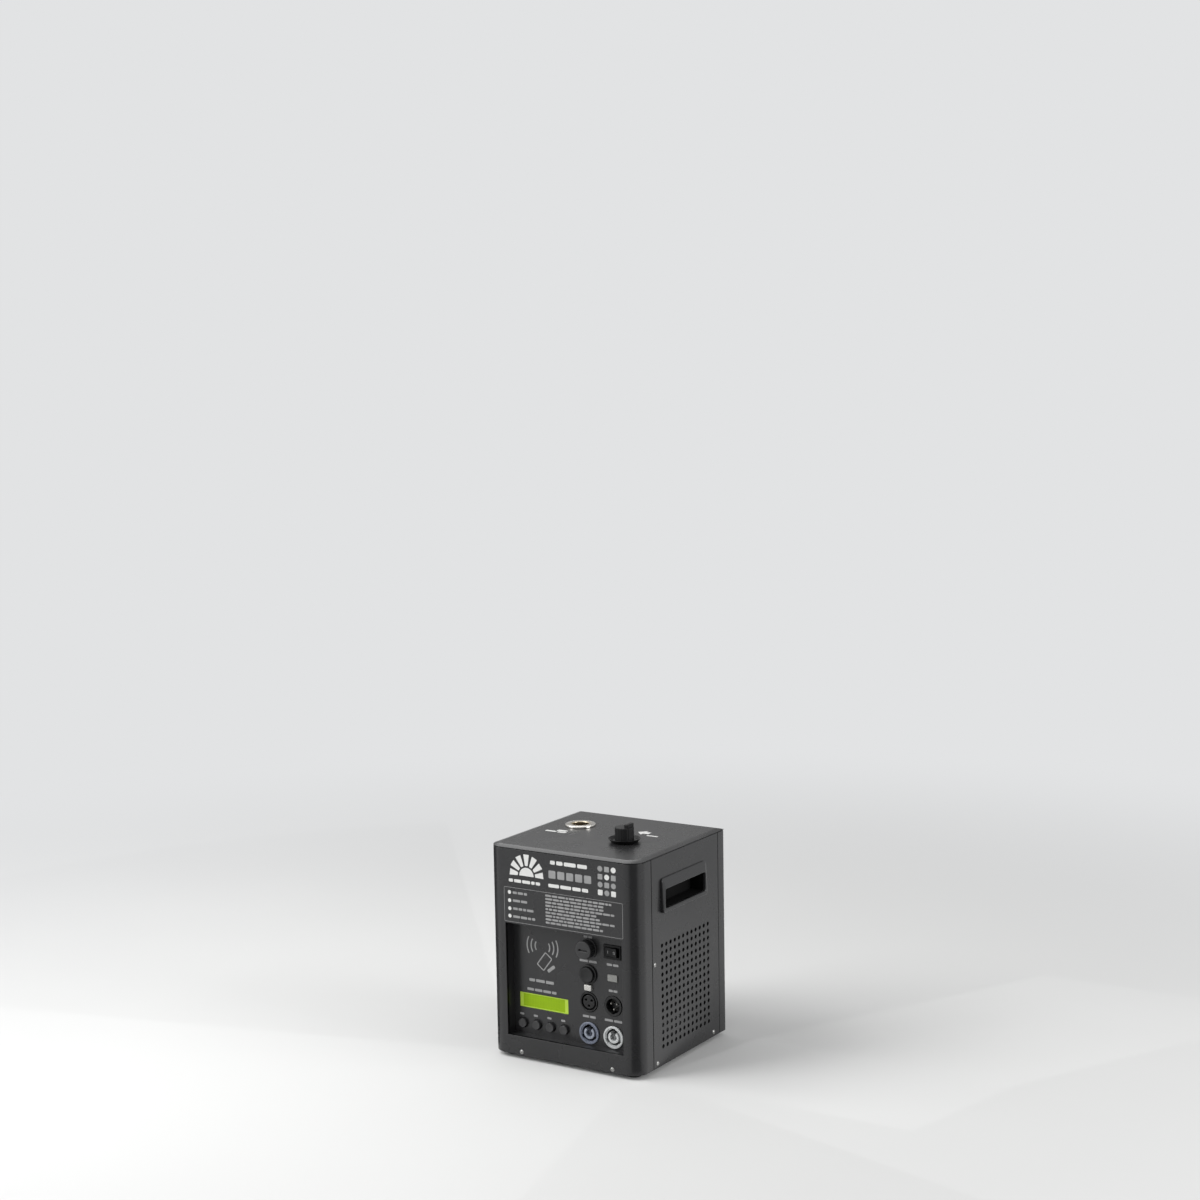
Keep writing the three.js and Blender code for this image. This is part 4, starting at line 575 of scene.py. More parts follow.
def on_tray(name, patches, finish, x, z, node=None, slot="black_plastic", body="case"):
    """A piece dressed with its own axis towards the front, from x and z on the tray's face."""
    dress(name, patches, finish, body, node, slot, (x, panel_y, z), FACING_FRONT)


def reach_of(node):
    """How far the front and the back of a node stand out from the tray's face."""
    low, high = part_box(node)
    return panel_y - low.y, panel_y - high.y


tray = pressed(tray_outline, panel_holes, hole_edge)
tray += pressed(tray_outline, [tray_mouth], [(0, -PANEL / 2), (0, rim)])
tray += pressed(flange, [tray_mouth], [(0, rim - TRAY_WALL), (0, rim)])
on_tray("control_tray", tray, coated, 0, 0, "control_panel", "coated_steel")


# Print on the tray: short labels over the sockets and buttons, and the generic mark for holding a
# card to the reader, which is a card between two sets of arcs.
CARD_X, CARD_Z = -0.0370, case_low + 0.1130
WAVE_SHIFT, WAVE_RISE, WAVE_RADIUS, WAVE_PITCH, WAVE_LINE = 0.0015, 0.0140, 0.0085, 0.0055, 0.0015
WAVE_SPREAD, SPREAD_STEP = 0.62, 0.05
CARD_WIDTH, CARD_LENGTH, CARD_LINE = 0.0122, 0.0200, 0.0026
READER_ROWS = [(-0.0560, -0.0190, 0.0860, 0.0034, 61), (-0.0590, -0.0180, 0.0748, 0.0030, 62)]
LABEL_RISE, LABEL_HEIGHT = 0.0440, 0.0026
SOCKET_LABELS = [
    (COLUMN_A, 0.1470, 0.006),
    (COLUMN_A, 0.1190, 0.012),
    (COLUMN_B, 0.1190, 0.008),
    (COLUMN_B, 0.0890, 0.006),
    (COLUMN_A, 0.0545, 0.009),
    (COLUMN_B, 0.0545, 0.012),
]
waves = []
for side, turn in ((-1, np.pi), (1, 0)):
    for ring in range(3):
        spread = WAVE_SPREAD - SPREAD_STEP * ring
        place = (CARD_X + side * WAVE_SHIFT, CARD_Z + WAVE_RISE)
        radius = WAVE_RADIUS + WAVE_PITCH * ring
        waves.append(arc_band(*place, radius, WAVE_LINE, turn - spread, turn + spread))
card_turn = np.radians(-38)
card_axes = np.array([(np.cos(card_turn), np.sin(card_turn)), (-np.sin(card_turn), np.cos(card_turn))])
card_place = [CARD_X + 0.0025, CARD_Z - 0.0030]
card = rectangle(0, 0, CARD_WIDTH, CARD_LENGTH, 0.0018, 3) @ card_axes + card_place
card_hole = rectangle(0, 0, CARD_WIDTH - CARD_LINE, CARD_LENGTH - CARD_LINE, 0.0010, 3)
card_hole = card_hole @ card_axes + card_place
thumb = rectangle(0, 0, 0.0038, 0.0120, 0.0018, 4) @ card_axes[:, ::-1] + [CARD_X + 0.0115, CARD_Z - 0.0105]
labels = [dash for row in READER_ROWS for dash in front_row(*row)]
for x, _ in menu_places:
    labels += front_row(x - 0.0050, x + 0.0060, LABEL_RISE, 0.0024, 70)
for x, rise, half in SOCKET_LABELS:
    labels.append(rectangle(x - half * 0.52, case_low + rise, half * 0.9, LABEL_HEIGHT, 0.0006, 2))
    labels.append(rectangle(x + half * 0.50, case_low + rise, half * 0.86, LABEL_HEIGHT, 0.0006, 2))
on_tray("tray_marks", film(waves + labels + [thumb]) + film([card], [card_hole]), grey_ink, 0, 0, slot=None)


# Display: a lit yellow-green character module behind a clear window. The light box shows as a paler
# border round the characters' area. The module's board is behind the panel.
GREEN = (128, 160, 8)
PALE_GREEN = (160, 188, 64)
LENS = 0.0006
CELL_WIDTH, CELL_HEIGHT, CELL_GAP = 0.0036, 0.0062, 0.00035
BORDER_SIDE, BORDER_END = 0.0090, 0.0024
glassy = dict(grain=0.0006, relief=0.0, rough=(0.45, 0.5), specular=0.2)
lit = grained("display_light", GREEN, 0.05, 0.004, glow=0.16, **glassy)
lit_border = grained("display_border", PALE_GREEN, 0.04, 0.006, glow=0.2, **glassy)
tree = lit.node_tree
cells = [("Scale", 1), ("Brick Width", CELL_WIDTH), ("Row Height", CELL_HEIGHT), ("Mortar Size", CELL_GAP)]
cells += [("Mortar Smooth", 0.6), ("Color1", colour(GREEN, 0.93)), ("Color2", colour(GREEN, 0.97))]
cells += [("Mortar", colour(GREEN, 1.05))]
grid = added(tree, "ShaderNodeTexBrick", cells)
grid.offset = 0
stand = added(tree, "ShaderNodeMapping", [("Rotation", (math.radians(90), 0, 0))])
wire(
    tree,
    (tree.nodes["Texture Coordinate"].outputs["Object"], stand.inputs["Vector"]),
    (stand.outputs["Vector"], grid.inputs["Vector"]),
    (grid.outputs["Color"], tree.nodes["Principled BSDF"].inputs["Base Color"]),
)
display_size = np.array([display_high.x - display_low.x, display_high.z - display_low.z])
screen_front, screen_back = reach_of("lcd_glass")
border = rectangle(*display_place, *display_size, 0.0004, 2)
area = rectangle(*display_place, *(display_size - [BORDER_SIDE, BORDER_END]), 0.0004, 2)
display_frame = pressed(border, [area], [(0, screen_back), (0, screen_front - LENS)])
on_tray("display_frame", display_frame, lit_border, 0, 0, "lcd_glass", "display_green")
screen = pressed(area, [], [(0, screen_back), (0, screen_front - LENS * 1.5)])
on_tray("display_screen", screen, lit, 0, 0, slot="display_green")


# Menu buttons: four small black moulded caps, each with a flange behind the panel and a stem that
# presses a switch on the board.
BLACK = (26, 26, 27)
STEM_RADIUS, CAP_FLANGE_RADIUS, CAP_FLANGE_BACK, CAP_FLANGE_FACE = 0.002, 0.0076, -0.0035, -0.0023
CAP_TAPER, CAP_DISH_RADIUS, CAP_DISH = 0.0003, 0.0030, 0.0005
black = grained("black_moulding", BLACK, 0.12, 0.008, 0.0004, 0.00002, (0.35, 0.5))
button_black = grained("button_black", (44, 44, 45), 0.1, 0.006, 0.0004, 0.00001, (0.3, 0.42))
for number, place in enumerate(menu_places, 1):
    node = f"menu_button_{number}"
    top, foot = reach_of(node)
    cap = spun(
        [
            (0, foot, 0),
            (STEM_RADIUS, foot, 0.0002),
            (STEM_RADIUS, CAP_FLANGE_BACK, 0),
            (CAP_FLANGE_RADIUS, CAP_FLANGE_BACK, 0.0002),
            (CAP_FLANGE_RADIUS, CAP_FLANGE_FACE, 0.0002),
            (BUTTON_RADIUS, CAP_FLANGE_FACE, 0),
            (BUTTON_RADIUS - CAP_TAPER, top, 0.0009),
            (CAP_DISH_RADIUS, top - 0.0003, 0.0008),
            (0, top - CAP_DISH, 0),
        ],
        48,
    )
    on_tray(f"menu_cap_{number}", [cap], button_black, *place, node, body=node)


# Mains sockets: round locking sockets, blue-grey in and light grey out. Each is a broad light rim with three
# key ways round a well whose darker tone is painted shade, and in the well a light C-shaped collar open at
# the top.
# Painted shade: the well tones are each socket's own plastic darkened, as the shade inside the recess.
RING_IN, COLLAR_IN, SHADED_WELL_IN = (106, 112, 127), (136, 142, 154), (40, 46, 62)
RING_OUT, COLLAR_OUT, SHADED_WELL_OUT = (186, 188, 188), (194, 196, 196), (104, 106, 106)
RING_RADIUS, WELL_RADIUS, WALL_RADIUS = 0.0130, 0.0106, 0.0094
COLLAR_RADIUS, COLLAR_BORE, COLLAR_GAP = 0.0070, 0.0040, math.radians(70)
RIM_DEPTH, RIM_SUNK = 0.0030, 0.0005
KEY_WIDTH, KEY_DEPTH, KEY_SLOPE = 0.0042, 0.0010, 0.12
KEY_TURNS = [np.pi / 2, np.pi * 7 / 6, np.pi * 11 / 6]
BARREL_FLOOR, BARREL_RADIUS = -0.0100, 0.0112
COLLAR_SUNK, COLLAR_LENGTH, CONTACT_SUNK = 0.0006, 0.0090, 0.0027
SEATED = 0.0003


def keyed(radius, key_width, turns, steps=120):
    """A circle with key ways cut outwards: near each turn the radius grows by the key depth."""
    angle = np.arange(steps) * (2 * np.pi / steps)
    away = np.abs((angle[:, None] - np.array(turns)[None] + np.pi) % (2 * np.pi) - np.pi).min(1)
    cut = np.clip((key_width / 2 - away * radius) / (key_width * KEY_SLOPE) + 1, 0, 1)
    reach = radius + KEY_DEPTH * cut
    return np.stack([reach * np.cos(angle), reach * np.sin(angle)], -1)


def swung(outline, turn):
    """The outline turned about the middle."""
    return outline @ np.array([(math.cos(turn), math.sin(turn)), (-math.sin(turn), math.cos(turn))])


for name, x, tones, slots in (
    ("power_in", COLUMN_A, (RING_IN, COLLAR_IN, SHADED_WELL_IN), ("blue_ring", "blue_plastic")),
    ("power_out", COLUMN_B, (RING_OUT, COLLAR_OUT, SHADED_WELL_OUT), ("grey_plastic", "grey_plastic")),
):
    face, back = reach_of(f"{name}_socket")
    ring_tone, collar_tone, well_shade_tone = (
        grained(f"{name}_{part}", tone, 0.05, 0.008, 0.0005, 0.00001, (0.28, 0.4))
        for part, tone in zip(("ring", "collar", "well"), tones)
    )
    ring = spun(
        [
            (WELL_RADIUS, SEATED, 0),
            (RING_RADIUS, SEATED, 0.0002),
            (RING_RADIUS, face, 0.0008),
            (WELL_RADIUS, face, 0.0006),
            (WELL_RADIUS, SEATED, 0),
        ],
        96,
    )
    mouth = keyed(WALL_RADIUS, KEY_WIDTH, KEY_TURNS)
    rim_outer = circle(WELL_RADIUS - 0.0001, steps=96)
    rim_wall = [(0, face - RIM_DEPTH), (0, face - RIM_SUNK - 0.0003), (EDGE_EASE, face - RIM_SUNK)]
    rim_plate = pressed(rim_outer, [mouth], rim_wall)
    on_tray(f"{name}_ring", [ring] + rim_plate, ring_tone, x, POWER_ROW, f"{name}_socket", slots[0])
    barrel = turned(
        [
            (0, back),
            (BARREL_RADIUS, back),
            (BARREL_RADIUS + 0.0003, BARREL_FLOOR - 0.0004),
            (BARREL_RADIUS, BARREL_FLOOR),
            (0, BARREL_FLOOR),
        ]
    )
    # The well and the contacts in it take the painted-shade tone.
    well = pressed(rim_outer, [mouth], [(0, BARREL_FLOOR - 0.0004), (0, face - RIM_DEPTH)])
    on_tray(f"{name}_well", well + [barrel], well_shade_tone, x, POWER_ROW, slot=slots[1])
    top = face - COLLAR_SUNK
    base = circle(COLLAR_BORE - 0.0001, steps=64)
    contact = rectangle(0, 0.0024, 0.0010, 0.0016, 0.0003, 2)
    contacts = [swung(contact, turn) for turn in (0, 2 * np.pi / 3, -2 * np.pi / 3)]
    core_wall = [(0, top - 0.0096), (0, top - CONTACT_SUNK - 0.0003), (0.0003, top - CONTACT_SUNK)]
    core = pressed(base, contacts, core_wall)
    on_tray(f"{name}_contacts", core, well_shade_tone, x, POWER_ROW, slot=slots[1])
    middle = (COLLAR_RADIUS + COLLAR_BORE) / 2
    start, end = np.pi / 2 + COLLAR_GAP / 2, np.pi * 5 / 2 - COLLAR_GAP / 2
    collar = arc_band(0, 0, middle, COLLAR_RADIUS - COLLAR_BORE, start, end, 48)
    collar_wall = [(0, top - COLLAR_LENGTH), (0, top - 0.0005), (0.0002, top - 0.0001), (0.0005, top)]
    collar_plate = pressed(collar, [], collar_wall)
    on_tray(f"{name}_collar", collar_plate, collar_tone, x, POWER_ROW, f"{name}_core", slots[1])


# Signal sockets: three-pole round sockets set in from behind. The female one has a bright push latch
# over it, the male one an insert with three pins.
SIGNAL_FRONT, FEMALE_DEPTH, MALE_DEPTH = 0.001, 0.008, 0.012
POLE_RADIUS, POLE_BORE = 0.0044, 0.0014
FEMALE_MOUTH, FEMALE_HUB, MALE_MOUTH, MALE_KEY = 0.0096, 0.0078, 0.0086, 0.0030
FLANGE, FLANGE_DROP, FLANGE_BACK, FLANGE_FACE = (0.026, 0.0268), -0.0020, -0.0043, -0.0023
PIN_RADIUS, PIN_LENGTH, PIN_FOOT, DISC, DISC_RADIUS = 0.0011, 0.009, 0.001, 0.003, 0.0080
LATCH_WIDTH, LATCH_HEIGHT, LATCH_HIDDEN = 0.010, 0.007, 0.0095
POLES = [(POLE_RADIUS * math.cos(turn), POLE_RADIUS * math.sin(turn)) for turn in np.radians((30, 150, 270))]
bright = grained("bright_steel", (190, 189, 185), 0.05, 0.006, 0.0003, 0.00001, (0.4, 0.5), metallic=0.6)
matt_black = grained("matt_black", (19, 19, 20), 0.12, 0.008, 0.0004, 0.00002, (0.4, 0.55), specular=0.35)
pin_steel = grained("pin_steel", (140, 138, 133), 0.05, 0.006, 0.0003, 0.00001, (0.35, 0.45), metallic=0.8)
signal_back = reach_of("signal_out_socket")[1]
flange_plate = pressed(
    rectangle(0, FLANGE_DROP, *FLANGE, 0.0020),
    [circle(SIGNAL_RADIUS - 0.0004)],
    [(0, FLANGE_BACK), (0, FLANGE_FACE)],
)


def rear_of_socket(floor):
    """The turned body behind a socket's floor."""
    return turned(
        [
            (0, signal_back),
            (SIGNAL_RADIUS - 0.0004, signal_back),
            (SIGNAL_RADIUS, signal_back + 0.0004),
            (SIGNAL_RADIUS, floor),
            (0, floor),
        ]
    )


def front_of_socket(mouth, depth):
    """The round front of a socket, cut by its mouth."""
    wall = [(0, SIGNAL_FRONT - depth), (0, SIGNAL_FRONT - 0.0003), (0.0003, SIGNAL_FRONT)]
    return pressed(circle(SIGNAL_RADIUS, steps=72), [mouth], wall)


hub_wall = [(0, SIGNAL_FRONT - FEMALE_DEPTH), (0, SIGNAL_FRONT - 0.0006), (0.0004, SIGNAL_FRONT - 0.0003)]
female = front_of_socket(circle(FEMALE_MOUTH, steps=72), FEMALE_DEPTH)
female += pressed(circle(FEMALE_HUB, steps=60), [circle(POLE_BORE, *pole, 20) for pole in POLES], hub_wall)
female += [rear_of_socket(SIGNAL_FRONT - FEMALE_DEPTH + 0.0005)] + flange_plate
on_tray("signal_out_body", female, matt_black, COLUMN_A, SIGNAL_ROW, "signal_out_socket")
male = front_of_socket(keyed(MALE_MOUTH, MALE_KEY, [np.pi * 1.5]), MALE_DEPTH)
male += [rear_of_socket(SIGNAL_FRONT - MALE_DEPTH + 0.0005)] + flange_plate
on_tray("signal_in_body", male, matt_black, COLUMN_B, SIGNAL_ROW, "signal_in_socket")
pin_low = SIGNAL_FRONT - 0.0117
pins = []
for x, y in POLES:
    pin = [
        (0, pin_low + PIN_FOOT, 0),
        (PIN_RADIUS, pin_low + PIN_FOOT, 0),
        (PIN_RADIUS, pin_low + PIN_FOOT + PIN_LENGTH, 0.0008),
        (0, pin_low + PIN_FOOT + PIN_LENGTH, 0),
    ]
    points, faces = spun(pin, 24)
    pins.append((points + [x, y, 0], faces))
disc_wall = [(0, pin_low), (0, pin_low + DISC - 0.0004), (0.0004, pin_low + DISC)]
disc = pressed(circle(DISC_RADIUS, steps=60), [], disc_wall)
on_tray("signal_in_disc", disc, black, COLUMN_B, SIGNAL_ROW)
on_tray("signal_in_pins", pins, pin_steel, COLUMN_B, SIGNAL_ROW, "signal_in_insert", "stainless")
latch_top, latch_foot = reach_of("signal_out_latch")
latch_wall = [(0, latch_foot), (0, latch_top - 0.0010), (0.0004, latch_top - 0.0003), (0.0011, latch_top)]
latch = pressed(rectangle(0, 0, LATCH_WIDTH, LATCH_HEIGHT, 0.0016), [], latch_wall)
latch += pressed(rectangle(0, 0, LATCH_WIDTH, LATCH_HIDDEN, 0.0005), [], [(0, -0.0033), (0, -0.0023)])
on_tray("latch_tab", latch, bright, *latch_place, "signal_out_latch", "stainless", "signal_latch")


# Fuse holder: a moulded sleeve through the panel, a carrier that pulls out with the glass fuse, and a
# fluted cap with a driver slot, which turns to lock it.
SLEEVE_BORE, SLEEVE_FLANGE = 0.0064, 0.012
CARRIER_BORE, CARRIER_RADIUS, CARRIER_FOOT = 0.0032, 0.0058, -0.0219
CAP_GRIP, CAP_CROWN, FLUTE_DEPTH, FLUTE_COUNT = 0.0108, 0.0104, 0.00035, 24
SLOT_LENGTH, SLOT_WIDTH, SLOT_DEPTH = 0.0108, 0.0020, 0.0023
fuse_face, fuse_back = reach_of("fuse_holder")
cap_top, cap_foot = reach_of("fuse_cap")
sleeve = spun(
    [
        (SLEEVE_BORE, fuse_back, 0),
        (FUSE_TUBE, fuse_back, 0.0003),
        (FUSE_TUBE, SEATED, 0),
        (SLEEVE_FLANGE, SEATED, 0.0002),
        (SLEEVE_FLANGE, fuse_face, 0.0008),
        (SLEEVE_BORE, fuse_face, 0.0003),
        (SLEEVE_BORE, fuse_back, 0),
    ]
)
on_tray("fuse_sleeve", [sleeve], black, COLUMN_A, UPPER_ROW, "fuse_holder")
carrier = spun(
    [
        (CARRIER_BORE, CARRIER_FOOT, 0),
        (CARRIER_RADIUS, CARRIER_FOOT, 0.0006),
        (CARRIER_RADIUS, fuse_face, 0.0003),
        (CARRIER_BORE, fuse_face, 0.0002),
        (CARRIER_BORE, CARRIER_FOOT, 0),
    ],
    48,
)
on_tray("fuse_drawer", [carrier], black, COLUMN_A, UPPER_ROW, "fuse_carrier", body="fuse_carrier")
flutes = np.arange(144) * (2 * np.pi / 144)
flute_radius = CAP_GRIP - FLUTE_DEPTH * (0.5 + 0.5 * np.cos(flutes * FLUTE_COUNT))
grip = np.stack([flute_radius * np.cos(flutes), flute_radius * np.sin(flutes)], -1)
driver_slot = rectangle(0, 0, SLOT_LENGTH, SLOT_WIDTH, 0.0004, 2)
crown_wall = [
    (0, cap_top - SLOT_DEPTH),
    (0, cap_top - 0.0012),
    (0.0003, cap_top - 0.0004),
    (0.0010, cap_top),
]
cap = pressed(grip, [], [(0, cap_foot), (0, cap_top - 0.0022)])
cap += pressed(circle(CAP_CROWN, steps=72), [driver_slot], crown_wall)
cap_black = grained("cap_black", (33, 33, 34), 0.1, 0.006, 0.0004, 0.00001, (0.34, 0.46))
on_tray("fuse_knob", cap, cap_black, COLUMN_A, UPPER_ROW, "fuse_cap", body="fuse_cap")


# Start button: a moulded bezel with its tube through the panel, and a dished plunger in it. Both are
# matt black plastic.
BEZEL_RADIUS, BEZEL_BORE, BEZEL_FLOOR = 0.0113, 0.0091, -0.0117
PLUNGER_RADIUS, DISH_RADIUS, DISH_CENTRE = 0.0086, 0.0074, 0.0040
DISH_DEPTH, CENTRE_DEPTH = 0.0007, 0.0008
start_face, start_back = reach_of("start_bezel")
plunger_top, plunger_foot = reach_of("start_button")
bezel = spun(
    [
        (0, start_back, 0),
        (START_TUBE, start_back, 0.0003),
        (START_TUBE, SEATED, 0),
        (BEZEL_RADIUS, SEATED, 0.0002),
        (BEZEL_RADIUS, start_face, 0.0008),
        (BEZEL_BORE, start_face, 0.0003),
        (BEZEL_BORE, BEZEL_FLOOR, 0),
        (0, BEZEL_FLOOR, 0),
    ]
)
on_tray("start_ring", [bezel], matt_black, COLUMN_A, MIDDLE_ROW, "start_bezel")
plunger = spun(
    [
        (0, plunger_foot, 0),
        (PLUNGER_RADIUS, plunger_foot, 0.0003),
        (PLUNGER_RADIUS, plunger_top, 0.0006),
        (DISH_RADIUS, plunger_top, 0.0006),
        (DISH_CENTRE, plunger_top - DISH_DEPTH, 0.0015),
        (0, plunger_top - CENTRE_DEPTH, 0),
    ]
)
on_tray("start_plunger", [plunger], matt_black, COLUMN_A, MIDDLE_ROW, "start_button", body="start_button")


# Rocker switch: a moulded body snapped into the panel, with a rocker that tips about an upright pin.
# The rocker carries the plain marks for on and off.
SWITCH_FLANGE, SWITCH_BODY, SWITCH_WELL = (0.023, 0.0166), (0.0204, 0.0132), (0.0182, 0.0106)
WELL_FLOOR = -0.0056
ROCKER_HALF, ROCKER_HEIGHT_HALF, ROCKER_EASE = 0.0081, 0.0049, 0.0004
ROCKER_TILT = math.radians(8)
MARK_REACH, HOLLOW, HOLLOW_CURVE = 0.0045, 0.00270, 11.0
OFF_RADIUS, OFF_LINE, ON_LENGTH = 0.0016, 0.0005, 0.0036
switch_face, switch_back = reach_of("switch_body")
switch_black = grained("switch_black", (9, 9, 10), 0.1, 0.006, 0.0004, 0.00001, (0.34, 0.46), specular=0.2)
well = rectangle(0, 0, *SWITCH_WELL, 0.0004, 2)
body = rectangle(0, 0, *SWITCH_BODY, 0.0006)
flange_wall = [(0, SEATED), (0, switch_face - 0.0006), (0.0003, switch_face - 0.0001), (0.0008, switch_face)]
switch = pressed(rectangle(0, 0, *SWITCH_FLANGE, 0.0008), [well], flange_wall)
switch += pressed(body, [well], [(0, WELL_FLOOR - 0.0001), (0, 2 * SEATED)])
switch += pressed(body, [], [(0, switch_back), (0, WELL_FLOOR)])
on_tray("switch_frame", switch, switch_black, COLUMN_B, UPPER_ROW, "switch_body")
along, across = math.cos(ROCKER_TILT), math.sin(ROCKER_TILT)
rocker_side = eased(
    [(-ROCKER_HALF, -0.0034), (0.0, -0.0020), (ROCKER_HALF, -0.0034), (0.0066, 0.003), (-0.0066, 0.003)],
    [0.0005, 0.008, 0.0005, 0.0003, 0.0003],
)
half, flat_half = ROCKER_HEIGHT_HALF, ROCKER_HEIGHT_HALF - ROCKER_EASE
rocker_wall = [(ROCKER_EASE, -half), (0, -flat_half), (0, flat_half), (ROCKER_EASE, half)]
rocker = pressed(rocker_side, [], rocker_wall)
rocker_axes = ((along, -across, 0), (across, along, 0), (0, 0, 1))
rocker_seat = dict(body="switch_rocker", origin=(COLUMN_B, panel_y, UPPER_ROW))
moulding = dict(node="switch_rocker", slot="black_plastic", axes=rocker_axes)
dress("rocker", rocker, switch_black, **moulding, **rocker_seat)
marks = film([rectangle(-MARK_REACH, 0, OFF_LINE, ON_LENGTH, 0.0001, 1)])
off_hole = circle(OFF_RADIUS - OFF_LINE, MARK_REACH, 0, 32)
marks += film([circle(OFF_RADIUS, MARK_REACH, 0, 32)], [off_hole])
marks = [(p + np.outer(HOLLOW + HOLLOW_CURVE * p[:, 0] ** 2, (0, 0, 1)), faces) for p, faces in marks]
mark_axes = ((along, -across, 0), (0, 0, 1), (-across, -along, 0))
dress("rocker_marks", marks, grey_ink, axes=mark_axes, **rocker_seat)


# Indicator lamp: a white translucent lens with soft edges, moulded in one piece and snapped into the
# panel under the switch.
LAMP_FRONT, LAMP_BODY = (0.013, 0.008), (0.0102, 0.0052)
lamp_top, lamp_foot = reach_of("indicator_lamp")
lamp_white = grained("lamp_lens", (127, 127, 124), 0.05, 0.003, 0.0008, 0.00003, (0.25, 0.35))
lens_wall = [(0, SEATED), (0, lamp_top - 0.0006), (0.0003, lamp_top - 0.0001), (0.0008, lamp_top)]
lens = pressed(rectangle(0, 0, *LAMP_FRONT, 0.0012), [], lens_wall)
lens += pressed(rectangle(0, 0, *LAMP_BODY, 0.0004), [], [(0, lamp_foot), (0, 0.0004)])
on_tray("lamp_lens", lens, lamp_white, COLUMN_B, MIDDLE_ROW, "indicator_lamp", "lamp_white")


# Side sheets: flat coated plates let in behind the front and rear returns. The right one is punched
# with the vent grid, the left one with the rings of the fan grille, and both with the handle hole.
VENT_RADIUS = 0.0024
VENT_COLUMNS, VENT_ROWS = 12, 15
VENT_PITCH_Y, VENT_PITCH_Z = 0.0094, 0.00833
VENT_Y, VENT_Z = 0.00585, case_low + 0.07985
GRILLE_RINGS, GRILLE_START, GRILLE_PITCH, GRILLE_SLOT, GRILLE_BRIDGE = 3, 0.013, 0.0095, 0.006, 0.005
side_low, side_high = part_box("right_side_panel")
handle_low, handle_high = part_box("right_handle")
HANDLE_Y = (handle_low.y + handle_high.y) / 2
HANDLE_Z = case_low + 0.1952
GRIP_LENGTH, GRIP_LOW, GRIP_HIGH = 0.089, HANDLE_Z - 0.0148, HANDLE_Z + 0.0072
POCKET_TOP = GRIP_LOW + 0.032
HANDLE_FIT = 0.0036
SEAM_GAP = 0.0006
SIDE_SCREWS = ((-0.0620, case_low + 0.1200), (-0.0590, case_low + 0.0055), (0.0680, case_low + 0.0055))
vent_y = VENT_Y + (np.arange(VENT_COLUMNS) - (VENT_COLUMNS - 1) / 2) * VENT_PITCH_Y
vent_z = VENT_Z + (np.arange(VENT_ROWS) - (VENT_ROWS - 1) / 2) * VENT_PITCH_Z
vents = [circle(VENT_RADIUS, y, z, 16) for y in vent_y for z in vent_z]
grille = []
for ring in range(GRILLE_RINGS):
    middle = GRILLE_START + ring * GRILLE_PITCH
    bridge = GRILLE_BRIDGE / middle
    for arc in range(4):
        start = arc * np.pi / 2 + bridge / 2
        grille.append(arc_band(-VENT_Y, VENT_Z, middle, GRILLE_SLOT, start, start + np.pi / 2 - bridge))
for name, sign, axes, openings in (
    ("right", 1, FACING_RIGHT, vents),
    ("left", -1, FACING_LEFT, grille),
):
    plate_y = sign * (side_low.y + side_high.y) / 2
    plate_rise = side_high.z + SEAM_RISE - side_low.z
    plate_length = side_high.y - side_low.y - 2 * SEAM_GAP
    plate_outline = rectangle(plate_y, side_low.z + plate_rise / 2, plate_length, plate_rise, 0.0004, 2)
    cut_size = (GRIP_LENGTH + HANDLE_FIT, POCKET_TOP - GRIP_LOW + HANDLE_FIT)
    cut = rectangle(sign * HANDLE_Y, (GRIP_LOW + POCKET_TOP) / 2, *cut_size, 0.0010)
    side_wall = [(0, -SHEET), (0, -EDGE_EASE), (EDGE_EASE, 0)]
    side_plate = pressed(plate_outline, [cut, *openings], side_wall)
    seat = dict(origin=(sign * case_x, 0, 0), axes=axes)
    dress(f"{name}_side_sheet", side_plate, coated, node=f"{name}_side_panel", slot="coated_steel", **seat)
    screws(f"{name}_screws", [(sign * y, z) for y, z in SIDE_SCREWS], **seat)


# Handles: pressed steel grips, welded to a pocket that runs up behind the bar. The frame stands
# 4.3 mm proud and its broad top bar leans back a little. The pocket's near-black colour is painted shade.
HANDLE_PROUD, HANDLE_HEIGHT, HANDLE_EASE = 0.0043, 0.0396, 0.0014
LEAN, LEAN_POWER = 0.0028, 1.5
POCKET_DEPTH, POCKET_WALL = 0.0180, 0.0015
frame_length = handle_high.y - handle_low.y


def rounded(radius, top, steps):
    """A quarter of a circle in (inset, height) pairs, from the side up to the top."""
    turns = np.linspace(0, np.pi / 2, steps)
    return [(radius * (1 - np.cos(turn)), top - radius * (1 - np.sin(turn))) for turn in turns]
